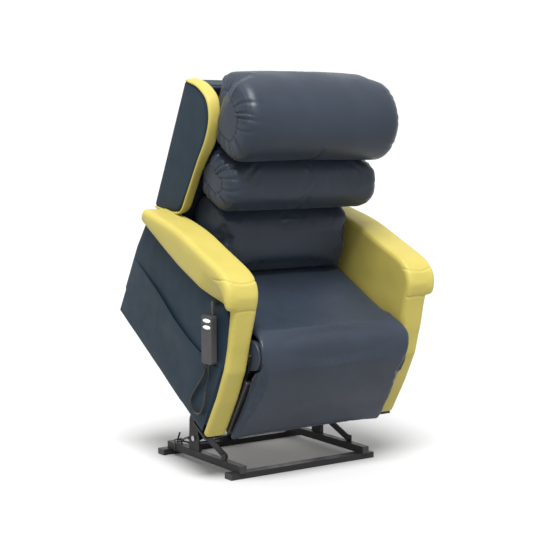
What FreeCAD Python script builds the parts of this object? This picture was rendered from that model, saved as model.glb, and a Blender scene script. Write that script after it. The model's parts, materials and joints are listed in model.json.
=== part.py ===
"""Lift recliner chair, in its raised pose, in millimetres.

+X is to the sitter's left, +Y is to the rear and +Z is up. The chair stands on its base frame, and its
seat is tilted forward about X by lift_tilt. Pieces of the seat, arms and back are drawn in the chair's
own upright frame, whose origin is the bottom front corner of the side panels, and are placed by
chair_depth, chair_height and lift_tilt. Pieces of the base are drawn in the base's frame, whose origin
is on the floor at the front crossbar's front face. Every size is a cell of the spreadsheet Sizes.
"""

import FreeCAD, Part
import math
import os
import re

import Sketcher

SIZES = {
    # where the frames stand
    "origin_depth": 195.06,
    "chair_depth": 24.7,
    "chair_height": 153.7,
    "lift_tilt": 31.5,
    # base frame
    "crossbar_half": 291.0,
    "crossbar_depth": 40.0,
    "crossbar_tall": 20.0,
    "rear_crossbar": 438.0,
    "tube_wall": 2.0,
    "rail_outer": 266.0,
    "rail_side": 25.0,
    "rail_front": -4.0,
    "rail_rear": 457.0,
    "cap_thick": 4.0,
    "post_inner": 258.0,
    "plate_thick": 6.0,
    "gusset_width": 12.0,
    "gusset_tall": 56.0,
    "gusset_thick": 4.0,
    "brace_clearance": 0.1,
    "brace_thick": 5.7,
    "brace_radius": 11.0,
    "brace_foot_depth": 98.0,
    "brace_foot_height": 57.0,
    "brace_top_depth": 270.0,
    "brace_top_height": 124.0,
    # lift linkage
    "link_inner": 244.0,
    "link_radius": 12.0,
    "upper_link_radius": 13.0,
    "pin_radius": 5.0,
    "bolt_head_radius": 9.0,
    "running_gap": 0.05,
    "lower_pivot_depth": 286.0,
    "lower_pivot_height": 85.0,
    "lower_chair_depth": 60.29,
    "lower_chair_height": 198.97,
    "upper_pivot_depth": 276.6,
    "upper_pivot_height": 165.1,
    "upper_chair_depth": 62.36,
    "upper_chair_height": 241.52,
    "open_pivot_radius": 8.2,
    "torque_tube_share": 0.8,
    "torque_tube_radius": 11.0,
    "bracket_inner": 236.0,
    "bracket_thick": 6.9,
    "link_pin_depth": 54.0,
    "link_pin_height": 20.0,
    "upper_pin_depth": 78.0,
    "upper_pin_height": 55.2,
    # lift actuator
    "lift_foot_depth": 415.0,
    "lift_foot_height": 60.0,
    "lift_end_depth": 108.5,
    "lift_end_height": 66.5,
    "lift_reach": 391.75,
    "lift_angle": 148.08,
    "lug_gap": 10.5,
    "lug_thick": 5.0,
    "pin_end": 2.0,
    # shared by the three actuators, along and across each one's own axis
    "ear_radius": 12.0,
    "ear_width": 20.0,
    "neck_length": 16.1,
    "neck_tall": 22.0,
    "case_start": 16.0,
    "case_length": 30.0,
    "case_tall": 83.0,
    "case_past_axis": 19.0,
    "can_radius": 18.5,
    "can_start": 45.9,
    "can_length": 78.0,
    "can_offset": 42.0,
    "tube_start": 46.0,
    "tube_bore_start": 50.0,
    # recline actuator
    "recline_x": 90.0,
    "recline_foot_depth": 287.0,
    "recline_foot_height": 175.0,
    "recline_end_depth": 640.0,
    "recline_end_height": 194.0,
    "recline_reach": 353.51,
    "recline_angle": 3.08,
    # legrest actuator
    "legrest_drive_x": 291.0,
    "legrest_foot_depth": 238.1,
    "legrest_foot_height": 174.1,
    "legrest_end_depth": 5.1,
    "legrest_end_height": 260.2,
    "legrest_reach": 248.4,
    "legrest_angle": 159.72,
    # seat chassis
    "chassis_rail_inner": 243.0,
    "chassis_rail_width": 25.0,
    "chassis_half": 310.9,
    "front_crossbar_half": 268.0,
    "seat_half": 278.0,
    "foot_plate_inset": 4.0,
    "foot_plate_past": 8.0,
    "control_box_outer": 180.0,
    "control_box_length": 120.0,
    "knee_depth": 20.0,
    "knee_height": 310.0,
    "knee_radius": 75.0,
    "back_pivot_depth": 585.0,
    "back_pivot_height": 318.0,
    "hinge_pin_radius": 6.0,
    "drive_pin_radius": 4.0,
    "knee_plate_inner": 306.5,
    "hinge_plate_thick": 4.0,
    "back_plate_inner": 286.0,
    "fixed_plate_inner": 296.0,
    # arms
    "inner_panel": 311.0,
    "inner_panel_thick": 14.0,
    "outer_panel": 367.0,
    "arm_outer": 387.0,
    "pocket_gap": 5.2,
    "pocket_thick": 2.0,
    "pad_inner": 299.0,
    "pad_outer": 421.0,
    # wheels
    "wheel_depth": 590.0,
    "wheel_height": 8.0,
    "wheel_radius": 25.0,
    "wheel_inner": 341.0,
    "wheel_width": 22.0,
    "axle_radius": 4.0,
    # back
    "back_half": 285.9,
    "lever_gap": 9.5,
    "lever_pin_half": 15.0,
    "wing_inner": 292.0,
    "wing_outer": 334.0,
    "band_outer": 335.0,
    "head_half": 286.0,
    "head_front_half": 312.0,
    "middle_half": 284.0,
    "middle_front_half": 300.0,
    "lower_half": 264.0,
    # legrest
    "legrest_half": 307.0,
    "legrest_board_half": 299.0,
    "legrest_arm_inner": 299.5,
    "legrest_arm_thick": 4.0,
    # handset and its cord
    "handset_rear": 399.0,
    "handset_thick": 20.0,
    "handset_round": 9.0,
    "control_box_round": 6.0,
    "outer_back_round": 6.0,
    "cushion_round": 12.0,
    "button_radius": 7.0,
    "button_length": 46.0,
    "button_depth": -50.0,
    "button_upper": 541.0,
    "button_lower": 520.0,
    "button_pocket": 5.0,
    "button_thick": 5.0,
    "button_proud": 2.0,
    "button_gap": 0.5,
    "curl_radius": 5.0,
    "lead_radius": 1.8,
    "gland_height": 8.0,
    "gland_radius": 4.5,
    "gland_x": -407.0,
    "gland_depth": -27.0,
    "gland_bottom": 396.0,
    "strap_gap": 8.0,
    "strap_width": 12.0,
    "strap_thick": 3.0,
    "strap_length": 46.0,
    "strap_depth": -72.0,
    "strap_bottom": 559.0,
    "clip_width": 16.0,
    "clip_reach": 20.0,
    "clip_tall": 12.0,
    "clip_bottom": 590.0,
    "entry_reach": 11.0,
    "entry_width": 14.0,
    "entry_tall": 16.0,
    "entry_depth": -37.0,
    "entry_bottom": 420.0,
    "pad_top_radius": 77.0,
    "motor_cable_radius": 3.0,
    # motor cable fittings
    "motor_gland_radius": 6.0,
    "motor_gland_length": 9.0,
    "motor_gland_x": -261.0,
    "motor_gland_depth": 317.0,
    "motor_gland_height": 80.0,
    "plug_length": 28.0,
    "plug_depth": 24.0,
    "plug_tall": 17.0,
    "plug_x": -44.0,
    "plug_front": 448.0,
    "plug_bottom": 20.0,
    "tie_wall": 2.2,
    "tie_x": -268.5,
    "tie_front": 404.0,
    "tie_bottom": 17.5,
    "tie_across": 30.2,
    "tie_width": 7.0,
    "tie_tall": 43.0,
    "tail_length": 34.0,
    "tail_width": 6.0,
    "tail_thick": 2.0,
    "tail_x": -262.0,
    "tail_bottom": 58.0,
    "tail_angle": 118.0,
}

# Side profiles as (depth, height) corners, in the frame of the piece that they belong to.
OUTLINES = {
    "post": [(258, 45), (318, 45), (314, 150), (298, 184), (262, 184), (258, 150)],
    "lift_lug": [(438, 20), (478, 20), (478, 27), (428, 73), (408, 73), (403, 66), (403, 48), (424, 27), (438, 27)],
    "chair_bracket": [(40, 8), (66, 8), (94, 44), (112, 189), (112, 214.9), (40, 214.9), (38, 60)],
    "rod_lug": [(80, 214.9), (126, 214.9), (122, 66), (116, 53), (100, 53), (94, 66)],
    "chassis_rail": [(40, 190), (500, 190), (500, 215), (40, 215)],
    "chassis_rail_bore": [(42, 192), (498, 192), (498, 213), (42, 213)],
    "front_crossbar": [(80, 215), (105, 215), (105, 235), (80, 235)],
    "middle_crossbar": [(290, 215), (315, 215), (315, 235), (290, 235)],
    "rear_crossbar": [(470, 215), (495, 215), (495, 235), (470, 235)],
    "seat_deck": [(42, 235), (525, 235), (525, 247), (42, 247)],
    "seat_cushion": [(20, 385), (-55, 310), (20, 235), (42, 247.3), (530, 247.3), (530, 322),
                     (440, 334), (356, 334), (247, 350), (132, 364), (60, 380)],
    "recline_foot": [(290, 214.9), (315, 214.9), (313, 207), (299, 196), (298, 168), (287, 162),
                     (275, 168), (275, 186)],
    "legrest_foot": [(225, 214), (252, 214), (252, 168), (238, 160), (225, 168)],
    "handset_face": [(-80, 404), (-20, 404), (-20, 559), (-80, 559)],
    "outer_panel": [(10, 0), (666, 12), (675, 368), (625, 401), (413, 397), (276, 414), (178, 428),
                    (87, 452), (44, 345), (19, 262), (10, 150)],
    "inner_panel": [(12, 8), (640, 8), (640, 392), (413, 392), (276, 408), (178, 422), (92, 444),
                    (47, 345), (22, 262), (12, 150)],
    "front_panel": [(-15, 3), (9.8, 3), (9.8, 150), (18.8, 262), (43.8, 345), (82, 441), (62, 447),
                    (20, 350), (-5, 262), (-14, 150)],
    "rear_panel": [(646, 14), (665, 14), (674, 366), (655, 366)],
    "arm_pad": [(84, 455), (178, 431), (276, 417), (413, 400), (622, 404), (633, 424), (622, 446),
                (573, 465), (499, 490), (411, 512), (290, 528), (175, 546), (109, 556), (78, 550),
                (64, 520), (58, 470), (62, 450)],
    "pocket": [(15, 10), (655, 16), (657, 233), (572, 226), (446, 214), (325, 202), (216, 205),
               (154, 223), (57, 248), (24, 256), (15, 150)],
    "pocket_hem_bottom": [(15, 10), (655, 16), (655, 28), (15, 22)],
    "pocket_hem_front": [(15, 22.2), (27, 22.2), (27, 150), (34, 250), (24, 254), (15, 150)],
    "pocket_hem_rear": [(643, 28.2), (655, 28.2), (657, 233), (645, 232)],
    "foot_plate": [(-8, -8), (78, -8), (78, -2), (-8, -2)],
    "knee_plate": [(6, 296), (20, 324), (36, 320), (90, 252), (90, 215), (50, 215), (8, 284)],
    "back_plate_fixed": [(470, 235.2), (496, 235.2), (604, 312), (600, 332), (580, 338), (566, 330)],
    "back_plate_moving": [(570, 312), (586, 302), (602, 316), (660, 400), (654, 430), (604, 430)],
    "back_board": [(592, 352), (608, 350), (682, 905), (664, 908)],
    "outer_back": [(692, 422), (714, 419), (762, 877), (741, 881)],
    "wing": [(572, 522), (596, 488), (640, 464), (691, 436), (740, 878), (681, 890), (618, 880),
             (580, 838), (567, 776), (571, 700)],
    "wing_band": [(558, 520), (590, 480), (595.5, 487.5), (571.5, 522), (570.5, 700), (566.5, 776),
                  (579.5, 838.4), (617.7, 880.5), (681, 890.5), (740, 878.5), (741, 884), (679, 901),
                  (612, 893), (568, 845), (552, 778), (557, 700)],
    "head_cushion": [(427, 767), (380, 815), (368, 886), (392, 951), (447, 996), (503, 1018),
                     (573, 1012), (651, 984), (690, 935), (662.5, 914), (645, 770),
                     (500, 758)],
    "head_front": [(427, 767), (380, 815), (368, 886), (392, 951), (447, 996), (503, 1018),
                   (540, 1015), (540, 761), (500, 758)],
    "middle_cushion": [(429, 577), (378, 632), (368, 667), (382, 700), (400, 740), (426, 753),
                       (643, 760), (618, 572)],
    "middle_front": [(429, 577), (378, 632), (368, 667), (382, 700), (400, 740), (426, 753),
                     (540, 756), (540, 574)],
    "lower_cushion": [(366, 352), (366, 441), (408, 517), (428, 559), (616, 566), (590, 348)],
    "recline_lever": [(590, 349), (609, 349), (656, 204), (654, 186), (642, 179), (628, 186),
                      (626, 204), (590, 308)],
    "legrest_board": [(-14, 12), (2, 12), (2, 222), (-14, 222)],
    "legrest_pad": [(-42, 6), (-14.2, 6), (-14.2, 240.9), (-56.2, 299.3), (-61, 244), (-61, 167),
                    (-50, 60)],
    "legrest_arm": [(2.2, 30), (14, 30), (16, 200), (34, 300), (30, 322), (12, 322), (6, 305),
                    (-4, 262), (0, 246), (2.2, 220)],
    "control_box": [(330, 186), (440, 186), (440, 234.8), (330, 234.8)],
    "wheel_bracket": [(572, -6), (608, -6), (612, 40), (568, 40)],
}

doc = FreeCAD.newDocument("LiftRecliner")
sheet = doc.addObject("Spreadsheet::Sheet", "Sizes")
PIECES = []


def fill_sheet():
    """Write each driving size and each outline's corners as a cell with an alias."""
    cells = dict(SIZES)
    for name, corners in OUTLINES.items():
        for number, (depth, height) in enumerate(corners, start=1):
            cells[f"{name}_{number}_depth"] = depth
            cells[f"{name}_{number}_height"] = height
    for row, (alias, value) in enumerate(cells.items(), start=1):
        sheet.set(f"A{row}", alias)
        sheet.set(f"B{row}", str(value))
        sheet.setAlias(f"B{row}", alias)
    doc.recompute()
    return cells


CELLS = fill_sheet()


def cell(text):
    """Turn the aliases in a formula into references to the spreadsheet."""
    return re.sub(r"[a-z][a-z_0-9]*", lambda word: "Sizes." + word[0] if word[0] in CELLS else word[0], text)


def bind(item, **formulas):
    """Bind properties of a document object, where Base_x means Placement.Base.x."""
    for key, formula in formulas.items():
        path = {"x": "Placement.Base.x", "y": "Placement.Base.y", "z": "Placement.Base.z",
                "angle": "Placement.Rotation.Angle"}.get(key, key)
        item.setExpression(path, cell(str(formula)))
    return item


def turned(item):
    """Give a placement the X axis to turn about, before its angle is bound."""
    item.Placement = FreeCAD.Placement(FreeCAD.Vector(), FreeCAD.Rotation(FreeCAD.Vector(1, 0, 0), 10))
    return item


def in_base(item, x="0"):
    return bind(item, x=x, y="-origin_depth")


def in_chair(item, x="0"):
    return bind(turned(item), x=x, y="chair_depth - origin_depth", z="chair_height", angle="lift_tilt")


def at_pivot(item, x, depth, height, angle):
    """Place an item whose own origin is a pivot of the base frame."""
    return bind(turned(item), x=x, y=f"{depth} - origin_depth", z=height, angle=angle)


def at_chair_pivot(item, x, depth, height, angle):
    """Place an item whose own origin is a pivot of the chair's frame."""
    lean = "lift_tilt * 1 deg"
    return bind(
        turned(item), x=x,
        y=f"chair_depth - origin_depth + {depth} * cos({lean}) - {height} * sin({lean})",
        z=f"chair_height + {depth} * sin({lean}) + {height} * cos({lean})",
        angle=f"lift_tilt + {angle}",
    )


def piece(item, label):
    item.Label = label
    PIECES.append(item)
    return item


# Sketches and profiles

def draw_outline(sketch, name, arcs):
    """Draw a closed outline from the spreadsheet; arcs maps a corner to the next side's radius and sign."""
    corners = [FreeCAD.Vector(depth, height, 0) for depth, height in OUTLINES[name]]
    first = sketch.GeometryCount
    count = len(corners)
    for index, corner in enumerate(corners):
        following = corners[(index + 1) % count]
        if index in arcs:
            radius, side = arcs[index]
            sketch.addGeometry(arc_between(corner, following, CELLS[radius], side))
        else:
            sketch.addGeometry(Part.LineSegment(corner, following))
    for index in range(count):
        here, following = first + index, first + (index + 1) % count
        end, start = 2, 1
        if index in arcs and arcs[index][1] < 0:
            end = 1
        if (index + 1) % count in arcs and arcs[(index + 1) % count][1] < 0:
            start = 2
        sketch.addConstraint(Sketcher.Constraint("Coincident", here, end, following, start))
    for index, corner in enumerate(corners):
        start = 2 if index in arcs and arcs[index][1] < 0 else 1
        for kind, value, suffix in (("DistanceX", corner.x, "depth"), ("DistanceY", corner.y, "height")):
            number = sketch.addConstraint(Sketcher.Constraint(kind, first + index, start, value))
            sketch.setExpression(f"Constraints[{number}]", cell(f"{name}_{index + 1}_{suffix}"))
        if index in arcs:
            radius = arcs[index][0]
            number = sketch.addConstraint(Sketcher.Constraint("Radius", first + index, CELLS[radius]))
            sketch.setExpression(f"Constraints[{number}]", cell(radius))


def arc_between(start, end, radius, side):
    """An arc of under half a turn; side is 1 where it runs anticlockwise and -1 where it runs clockwise."""
    chord = end - start
    middle = (start + end) * 0.5
    rise = math.sqrt(max(radius * radius - chord.Length ** 2 / 4, 0.0))
    across = FreeCAD.Vector(-chord.y, chord.x, 0).normalize() * side
    centre = middle + across * rise
    crown = centre - across * radius
    return Part.Arc(start, crown, end)


def draw_circle(sketch, depth, height, radius):
    """Draw a circle whose centre and radius are formulas with the given present values."""
    numbers = [CELLS[word] for word in (depth, height)]
    index = sketch.addGeometry(Part.Circle(FreeCAD.Vector(*numbers, 0), FreeCAD.Vector(0, 0, 1), 5.0))
    for kind, formula in (("DistanceX", depth), ("DistanceY", height)):
        number = sketch.addConstraint(Sketcher.Constraint(kind, index, 3, CELLS[formula]))
        sketch.setExpression(f"Constraints[{number}]", cell(formula))
    number = sketch.addConstraint(Sketcher.Constraint("Radius", index, 5.0))
    sketch.setExpression(f"Constraints[{number}]", cell(radius))


def new_profile(label):
    """A body with an empty sketch on its side plane, where X is the pad's direction."""
    body = doc.addObject("PartDesign::Body", label)
    sketch = body.newObject("Sketcher::SketchObject", label + "_sketch")
    plane = [feature for feature in body.Origin.OriginFeatures if feature.Role == "YZ_Plane"][0]
    sketch.AttachmentSupport = [(plane, "")]
    sketch.MapMode = "FlatFace"
    return body, sketch


def pad_profile(body, sketch, length, edge_round=None):
    """Pad the sketch along X; edge_round is the radius of every edge that runs along X."""
    pad = body.newObject("PartDesign::Pad", body.Label + "_pad")
    pad.Profile = sketch
    bind(pad, Length=length)
    if edge_round:
        doc.recompute()
        along = [
            f"Edge{number}" for number, edge in enumerate(pad.Shape.Edges, start=1)
            if edge.Curve.TypeId == "Part::GeomLine" and abs(edge.tangentAt(0).x) > 0.99
        ]
        fillet = body.newObject("PartDesign::Fillet", body.Label + "_round")
        fillet.Base = (pad, along)
        fillet.setExpression("Radius", cell(edge_round))
    return body


def section(label, outline, start, length, arcs=None, holes=(), bore=None, edge_round=None):
    """A body of constant section along X, from the formula start over the formula length."""
    body, sketch = new_profile(label)
    draw_outline(sketch, outline, arcs or {})
    if bore:
        draw_outline(sketch, bore, {})
    for depth, height, radius in holes:
        draw_circle(sketch, depth, height, radius)
    pad_profile(body, sketch, length, edge_round)
    return bind(body, x=start)


def mirrored(name, outline, inner, thick, **options):
    """The same section on the left (+X) and on the right (-X), as two solids for a group."""
    return [section(name + "_left", outline, inner, thick, **options),
            section(name + "_right", outline, f"-({inner}) - ({thick})", thick, **options)]


def profile(label, outline, start, length, **options):
    """A piece of the chair that is one section."""
    return piece(in_chair(section(label, outline, start, length, **options), start), label)


def both_sides(name, outline, inner, thick, **options):
    """The same section on the left and on the right of the chair, as two pieces."""
    profile(name + "_left", outline, inner, thick, **options)
    profile(name + "_right", outline, f"-({inner}) - ({thick})", thick, **options)


# Primitives

def box(name, low, size):
    item = doc.addObject("Part::Box", name)
    bind(item, Length=size[0], Width=size[1], Height=size[2], x=low[0], y=low[1], z=low[2])
    return item


def rod(name, radius, length, start, along="x"):
    """A cylinder from the point start along one axis."""
    item = doc.addObject("Part::Cylinder", name)
    axis = {"x": FreeCAD.Vector(0, 1, 0), "y": FreeCAD.Vector(-1, 0, 0), "z": FreeCAD.Vector(0, 0, 1)}[along]
    turn = 0 if along == "z" else 90
    item.Placement = FreeCAD.Placement(FreeCAD.Vector(), FreeCAD.Rotation(axis, turn))
    bind(item, Radius=radius, Height=length, x=start[0], y=start[1], z=start[2])
    return item


def join(name, items):
    item = doc.addObject("Part::MultiFuse", name)
    item.Shapes = items
    return item


def cut(name, base, tool):
    item = doc.addObject("Part::Cut", name)
    item.Base = base
    item.Tool = tool
    return item


def grouped(label, items, place):
    """Separate solids that share one piece."""
    item = doc.addObject("Part::Compound", label + "_group")
    item.Links = items
    return piece(place(item), label)


def pin(name, radius, low, high, depth, height):
    """A pin along X between two formulas."""
    return rod(name, radius, f"({high}) - ({low})", (low, depth, height))


def pin_pair(name, radius, low, high, depth, height):
    return [pin(name + "_left", radius, low, high, depth, height),
            pin(name + "_right", radius, f"-({high})", f"-({low})", depth, height)]


# Base frame

def hollow_bar(name, low, size, along):
    """A box-section tube, open at its ends, running along X or Y."""
    outer = box(name + "_outside", low, size)
    inner_low = list(low)
    inner_size = list(size)
    for axis in range(3):
        if axis != along:
            inner_low[axis] = f"{low[axis]} + tube_wall"
            inner_size[axis] = f"{size[axis]} - 2 * tube_wall"
    return cut(name, outer, box(name + "_bore", inner_low, inner_size))


def build_base():
    crossbars = [hollow_bar(f"crossbar_{end}", ("-crossbar_half", depth, "0"),
                            ("2 * crossbar_half", "crossbar_depth", "crossbar_tall"), along=0)
                 for end, depth in (("front", "0"), ("rear", "rear_crossbar"))]
    grouped("base_crossbars", crossbars, in_base)
    rails = [hollow_bar(f"rail_{side}", (low, "rail_front", "crossbar_tall"),
                        ("rail_side", "rail_rear - rail_front", "rail_side"), along=1)
             for side, low in (("left", "rail_outer - rail_side"), ("right", "-rail_outer"))]
    grouped("base_rails", rails, in_base)
    build_end_caps()
    posts = mirrored("post", "post", "post_inner", "plate_thick", holes=[
        ("lower_pivot_depth", "lower_pivot_height", "pin_radius + running_gap"),
        ("upper_pivot_depth", "upper_pivot_height", "pin_radius + running_gap"),
    ])
    posts += [gusset("gusset_left", 1), gusset("gusset_right", -1)]
    grouped("lift_posts", posts, in_base)
    braces = round_bars("brace", "post_inner - brace_thick - brace_clearance", "brace_thick", "brace_radius",
                        ("brace_foot_depth", "brace_foot_height"), ("brace_top_depth", "brace_top_height"))
    braces += [brace_lug("brace_lug_left", 1), brace_lug("brace_lug_right", -1)]
    grouped("base_braces", braces, in_base)
    foot = lug_pair("lift_foot", "lift_lug", "0",
                    ("lift_foot_depth", "lift_foot_height", "pin_radius + running_gap"))
    foot.append(pin("lift_foot_pin", "pin_radius", "-lug_gap - lug_thick - pin_end",
                    "lug_gap + lug_thick + pin_end",
                    "lift_foot_depth", "lift_foot_height"))
    grouped("lift_actuator_foot", foot, in_base)
    bolts = []
    for level in ("lower", "upper"):
        where = (f"{level}_pivot_depth", f"{level}_pivot_height")
        plate_face = "post_inner + plate_thick"
        shanks = pin_pair(f"{level}_shank", "pin_radius", "link_inner - 1", f"{plate_face} + 1", *where)
        heads = pin_pair(f"{level}_head", "bolt_head_radius", f"{plate_face} + 0.2",
                         f"{plate_face} + 4.2", *where)
        bolts += [join(f"{level}_bolt_{side}", [shank, head])
                  for side, shank, head in zip(("left", "right"), shanks, heads)]
    grouped("lift_pivot_bolts", bolts, in_base)


def build_end_caps():
    """Closed plastic caps on the four ends of the crossbars and the four ends of the rails."""
    caps = []
    for end, depth in (("front", "0"), ("rear", "rear_crossbar")):
        for side, low in (("left", "crossbar_half"), ("right", "-crossbar_half - cap_thick")):
            caps.append(box(f"crossbar_cap_{end}_{side}", (low, depth, "0"),
                            ("cap_thick", "crossbar_depth", "crossbar_tall")))
    for end, depth in (("front", "rail_front - cap_thick"), ("rear", "rail_rear")):
        for side, low in (("left", "rail_outer - rail_side"), ("right", "-rail_outer")):
            caps.append(box(f"rail_cap_{end}_{side}", (low, depth, "crossbar_tall"),
                            ("rail_side", "cap_thick", "rail_side")))
    grouped("base_end_caps", caps, in_base)


def gusset(name, sign):
    """A triangular stiffener across the front edge of a post, narrowing upwards."""
    item = turned(doc.addObject("Part::Wedge", name))
    bind(item, angle="90", Ymin="0", Ymax="gusset_tall", Xmin="0", Xmax="gusset_width",
         Zmin="0", Zmax="gusset_thick", Z2min="0", Z2max="gusset_thick")
    tip = ("gusset_width - 1", "gusset_width") if sign > 0 else ("0", "1")
    bind(item, X2min=tip[0], X2max=tip[1])
    outer = "post_inner + plate_thick"
    low = f"{outer} - gusset_width" if sign > 0 else f"-({outer})"
    return bind(item, x=low, y="post_1_depth", z="crossbar_tall + rail_side")


def brace_lug(name, sign):
    low = "post_inner" if sign > 0 else "-post_inner - plate_thick"
    return box(name, (low, "brace_foot_depth - 12", "crossbar_tall + rail_side"),
               ("plate_thick", "24", "brace_foot_height - crossbar_tall - rail_side + 10"))


# Lift linkage

def round_bars(name, inner, thick, radius, near, far, holes=()):
    """A flat bar with round ends between two pivots, on each side, for a group."""
    bars = []
    for side, start in (("left", inner), ("right", f"-({inner}) - ({thick})")):
        body, sketch = new_profile(f"{name}_{side}")
        draw_round_bar(sketch, radius, near, far)
        for (depth, height), hole in holes:
            draw_circle(sketch, depth, height, hole)
        pad_profile(body, sketch, thick)
        bars.append(bind(body, x=start))
    return bars


def draw_round_bar(sketch, radius, near, far):
    """Two half circles joined by two tangent lines."""
    near_point = FreeCAD.Vector(CELLS[near[0]], CELLS[near[1]], 0)
    far_point = FreeCAD.Vector(CELLS[far[0]], CELLS[far[1]], 0)
    along = far_point - near_point
    angle = math.atan2(along.y, along.x)
    side = FreeCAD.Vector(-math.sin(angle), math.cos(angle), 0) * CELLS[radius]
    up = FreeCAD.Vector(0, 0, 1)
    first = sketch.addGeometry(Part.ArcOfCircle(
        Part.Circle(near_point, up, CELLS[radius]), angle + math.pi / 2, angle + 3 * math.pi / 2))
    sketch.addGeometry(Part.LineSegment(near_point - side, far_point - side))
    sketch.addGeometry(Part.ArcOfCircle(
        Part.Circle(far_point, up, CELLS[radius]), angle - math.pi / 2, angle + math.pi / 2))
    sketch.addGeometry(Part.LineSegment(far_point + side, near_point + side))
    for index in range(4):
        sketch.addConstraint(Sketcher.Constraint("Tangent", first + index, 2, first + (index + 1) % 4, 1))
    for arc, (depth, height) in ((first, near), (first + 2, far)):
        for kind, formula in (("DistanceX", depth), ("DistanceY", height)):
            number = sketch.addConstraint(Sketcher.Constraint(kind, arc, 3, CELLS[formula]))
            sketch.setExpression(f"Constraints[{number}]", cell(formula))
    number = sketch.addConstraint(Sketcher.Constraint("Radius", first, CELLS[radius]))
    sketch.setExpression(f"Constraints[{number}]", cell(radius))


def build_linkage():
    lower_pivot = ("lower_pivot_depth", "lower_pivot_height")
    lower_chair = ("lower_chair_depth", "lower_chair_height")
    upper_pivot = ("upper_pivot_depth", "upper_pivot_height")
    upper_chair = ("upper_chair_depth", "upper_chair_height")
    running = "pin_radius + running_gap"
    lower = round_bars("lower_link", "link_inner", "plate_thick", "link_radius", lower_pivot, lower_chair,
                       [(lower_pivot, running), (lower_chair, running)])
    grouped("lower_links", lower, in_base)
    upper = round_bars("upper_link", "link_inner", "plate_thick", "upper_link_radius", upper_pivot,
                       upper_chair, [(upper_pivot, running), (upper_chair, "open_pivot_radius")])
    grouped("upper_links", upper, in_base)
    share = "torque_tube_share"
    tube_place = (f"lower_pivot_depth + {share} * (lower_chair_depth - lower_pivot_depth)",
                  f"lower_pivot_height + {share} * (lower_chair_height - lower_pivot_height)")
    grouped("lift_torque_tube", [pin("torque_tube", "torque_tube_radius", "-link_inner", "link_inner",
                                     *tube_place)], in_base)


# Linear actuators

def actuator(name, place, foot, reach, angle, tube, shank, eye, motor_side):
    """A linear actuator whose own Y axis runs from its foot pivot to the eye of its rod.

    tube is (radius, end), shank is (radius, start) and eye is (radius, hole, half width). motor_side is
    1 where the motor lies on the actuator's own +Z side.
    """
    def put(label, items):
        grouped(label, items, lambda item: place(item, foot[0], foot[1], foot[2], angle))

    tube_radius, tube_end = tube
    rod_radius, rod_start = shank
    eye_radius, eye_hole, eye_half = eye
    ear = rod(name + "_ear", "ear_radius", "ear_width", ("-ear_width / 2", 0, 0))
    neck = box(name + "_neck", ("-ear_width / 2", 0, "-neck_tall / 2"), ("ear_width", "neck_length", "neck_tall"))
    low = "-case_past_axis" if motor_side > 0 else "case_past_axis - case_tall"
    case = box(name + "_case", (-tube_radius, "case_start", low), (2 * tube_radius, "case_length", "case_tall"))
    can = rod(name + "_can", "can_radius", "can_length", (0, "can_start", f"can_offset * {motor_side}"), along="y")
    hole = rod(name + "_ear_hole", "pin_radius + running_gap", "ear_width + 2 * pin_end",
               ("-ear_width / 2 - pin_end", 0, 0))
    motor = cut(name + "_motor_shape", join(name + "_motor_solid", [ear, neck, case, can]), hole)
    outside = rod(name + "_outside", tube_radius, f"{tube_end} - tube_start", (0, "tube_start", 0), along="y")
    bore = rod(name + "_bore", f"{rod_radius} + running_gap", f"{tube_end} - tube_bore_start + 5",
               (0, "tube_bore_start", 0), along="y")
    put(name + "_motor", [motor, cut(name + "_tube_shape", outside, bore)])
    bar = rod(name + "_bar", rod_radius, f"{reach} - {eye_radius - 3 + rod_start}", (0, rod_start, 0), along="y")
    ring = rod(name + "_ring", eye_radius, 2 * eye_half, (-eye_half, reach, 0))
    ring_hole = rod(name + "_ring_hole", eye_hole, f"{2 * eye_half} + 2 * pin_end",
                    (f"-{eye_half} - pin_end", reach, 0))
    put(name + "_rod", [cut(name + "_rod_shape", join(name + "_rod_solid", [bar, ring]), ring_hole)])


def build_actuators():
    actuator("lift_actuator", at_pivot, ("0", "lift_foot_depth", "lift_foot_height"), "lift_reach",
             "lift_angle", tube=(17, 262), shank=(10, 112), eye=(20, 12.2, 8), motor_side=-1)
    actuator("recline_actuator", at_chair_pivot,
             ("recline_x", "recline_foot_depth", "recline_foot_height"), "recline_reach",
             "recline_angle", tube=(15, 228), shank=(8, 133), eye=(15, 9.6, 7), motor_side=-1)
    actuator("legrest_actuator", at_chair_pivot,
             ("legrest_drive_x", "legrest_foot_depth", "legrest_foot_height"), "legrest_reach",
             "legrest_angle", tube=(12, 190), shank=(7, 51), eye=(17.5, 13.5, 6), motor_side=1)


# Seat chassis, which carries the arms

def lug_pair(name, outline, centre, hole):
    """Two lugs, one each side of the plane x = centre, for a group."""
    return [section(f"{name}_{side}", outline, f"{centre} {low}", "lug_thick", holes=[hole])
            for side, low in (("left", "+ lug_gap"), ("right", "- lug_gap - lug_thick"))]


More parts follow.
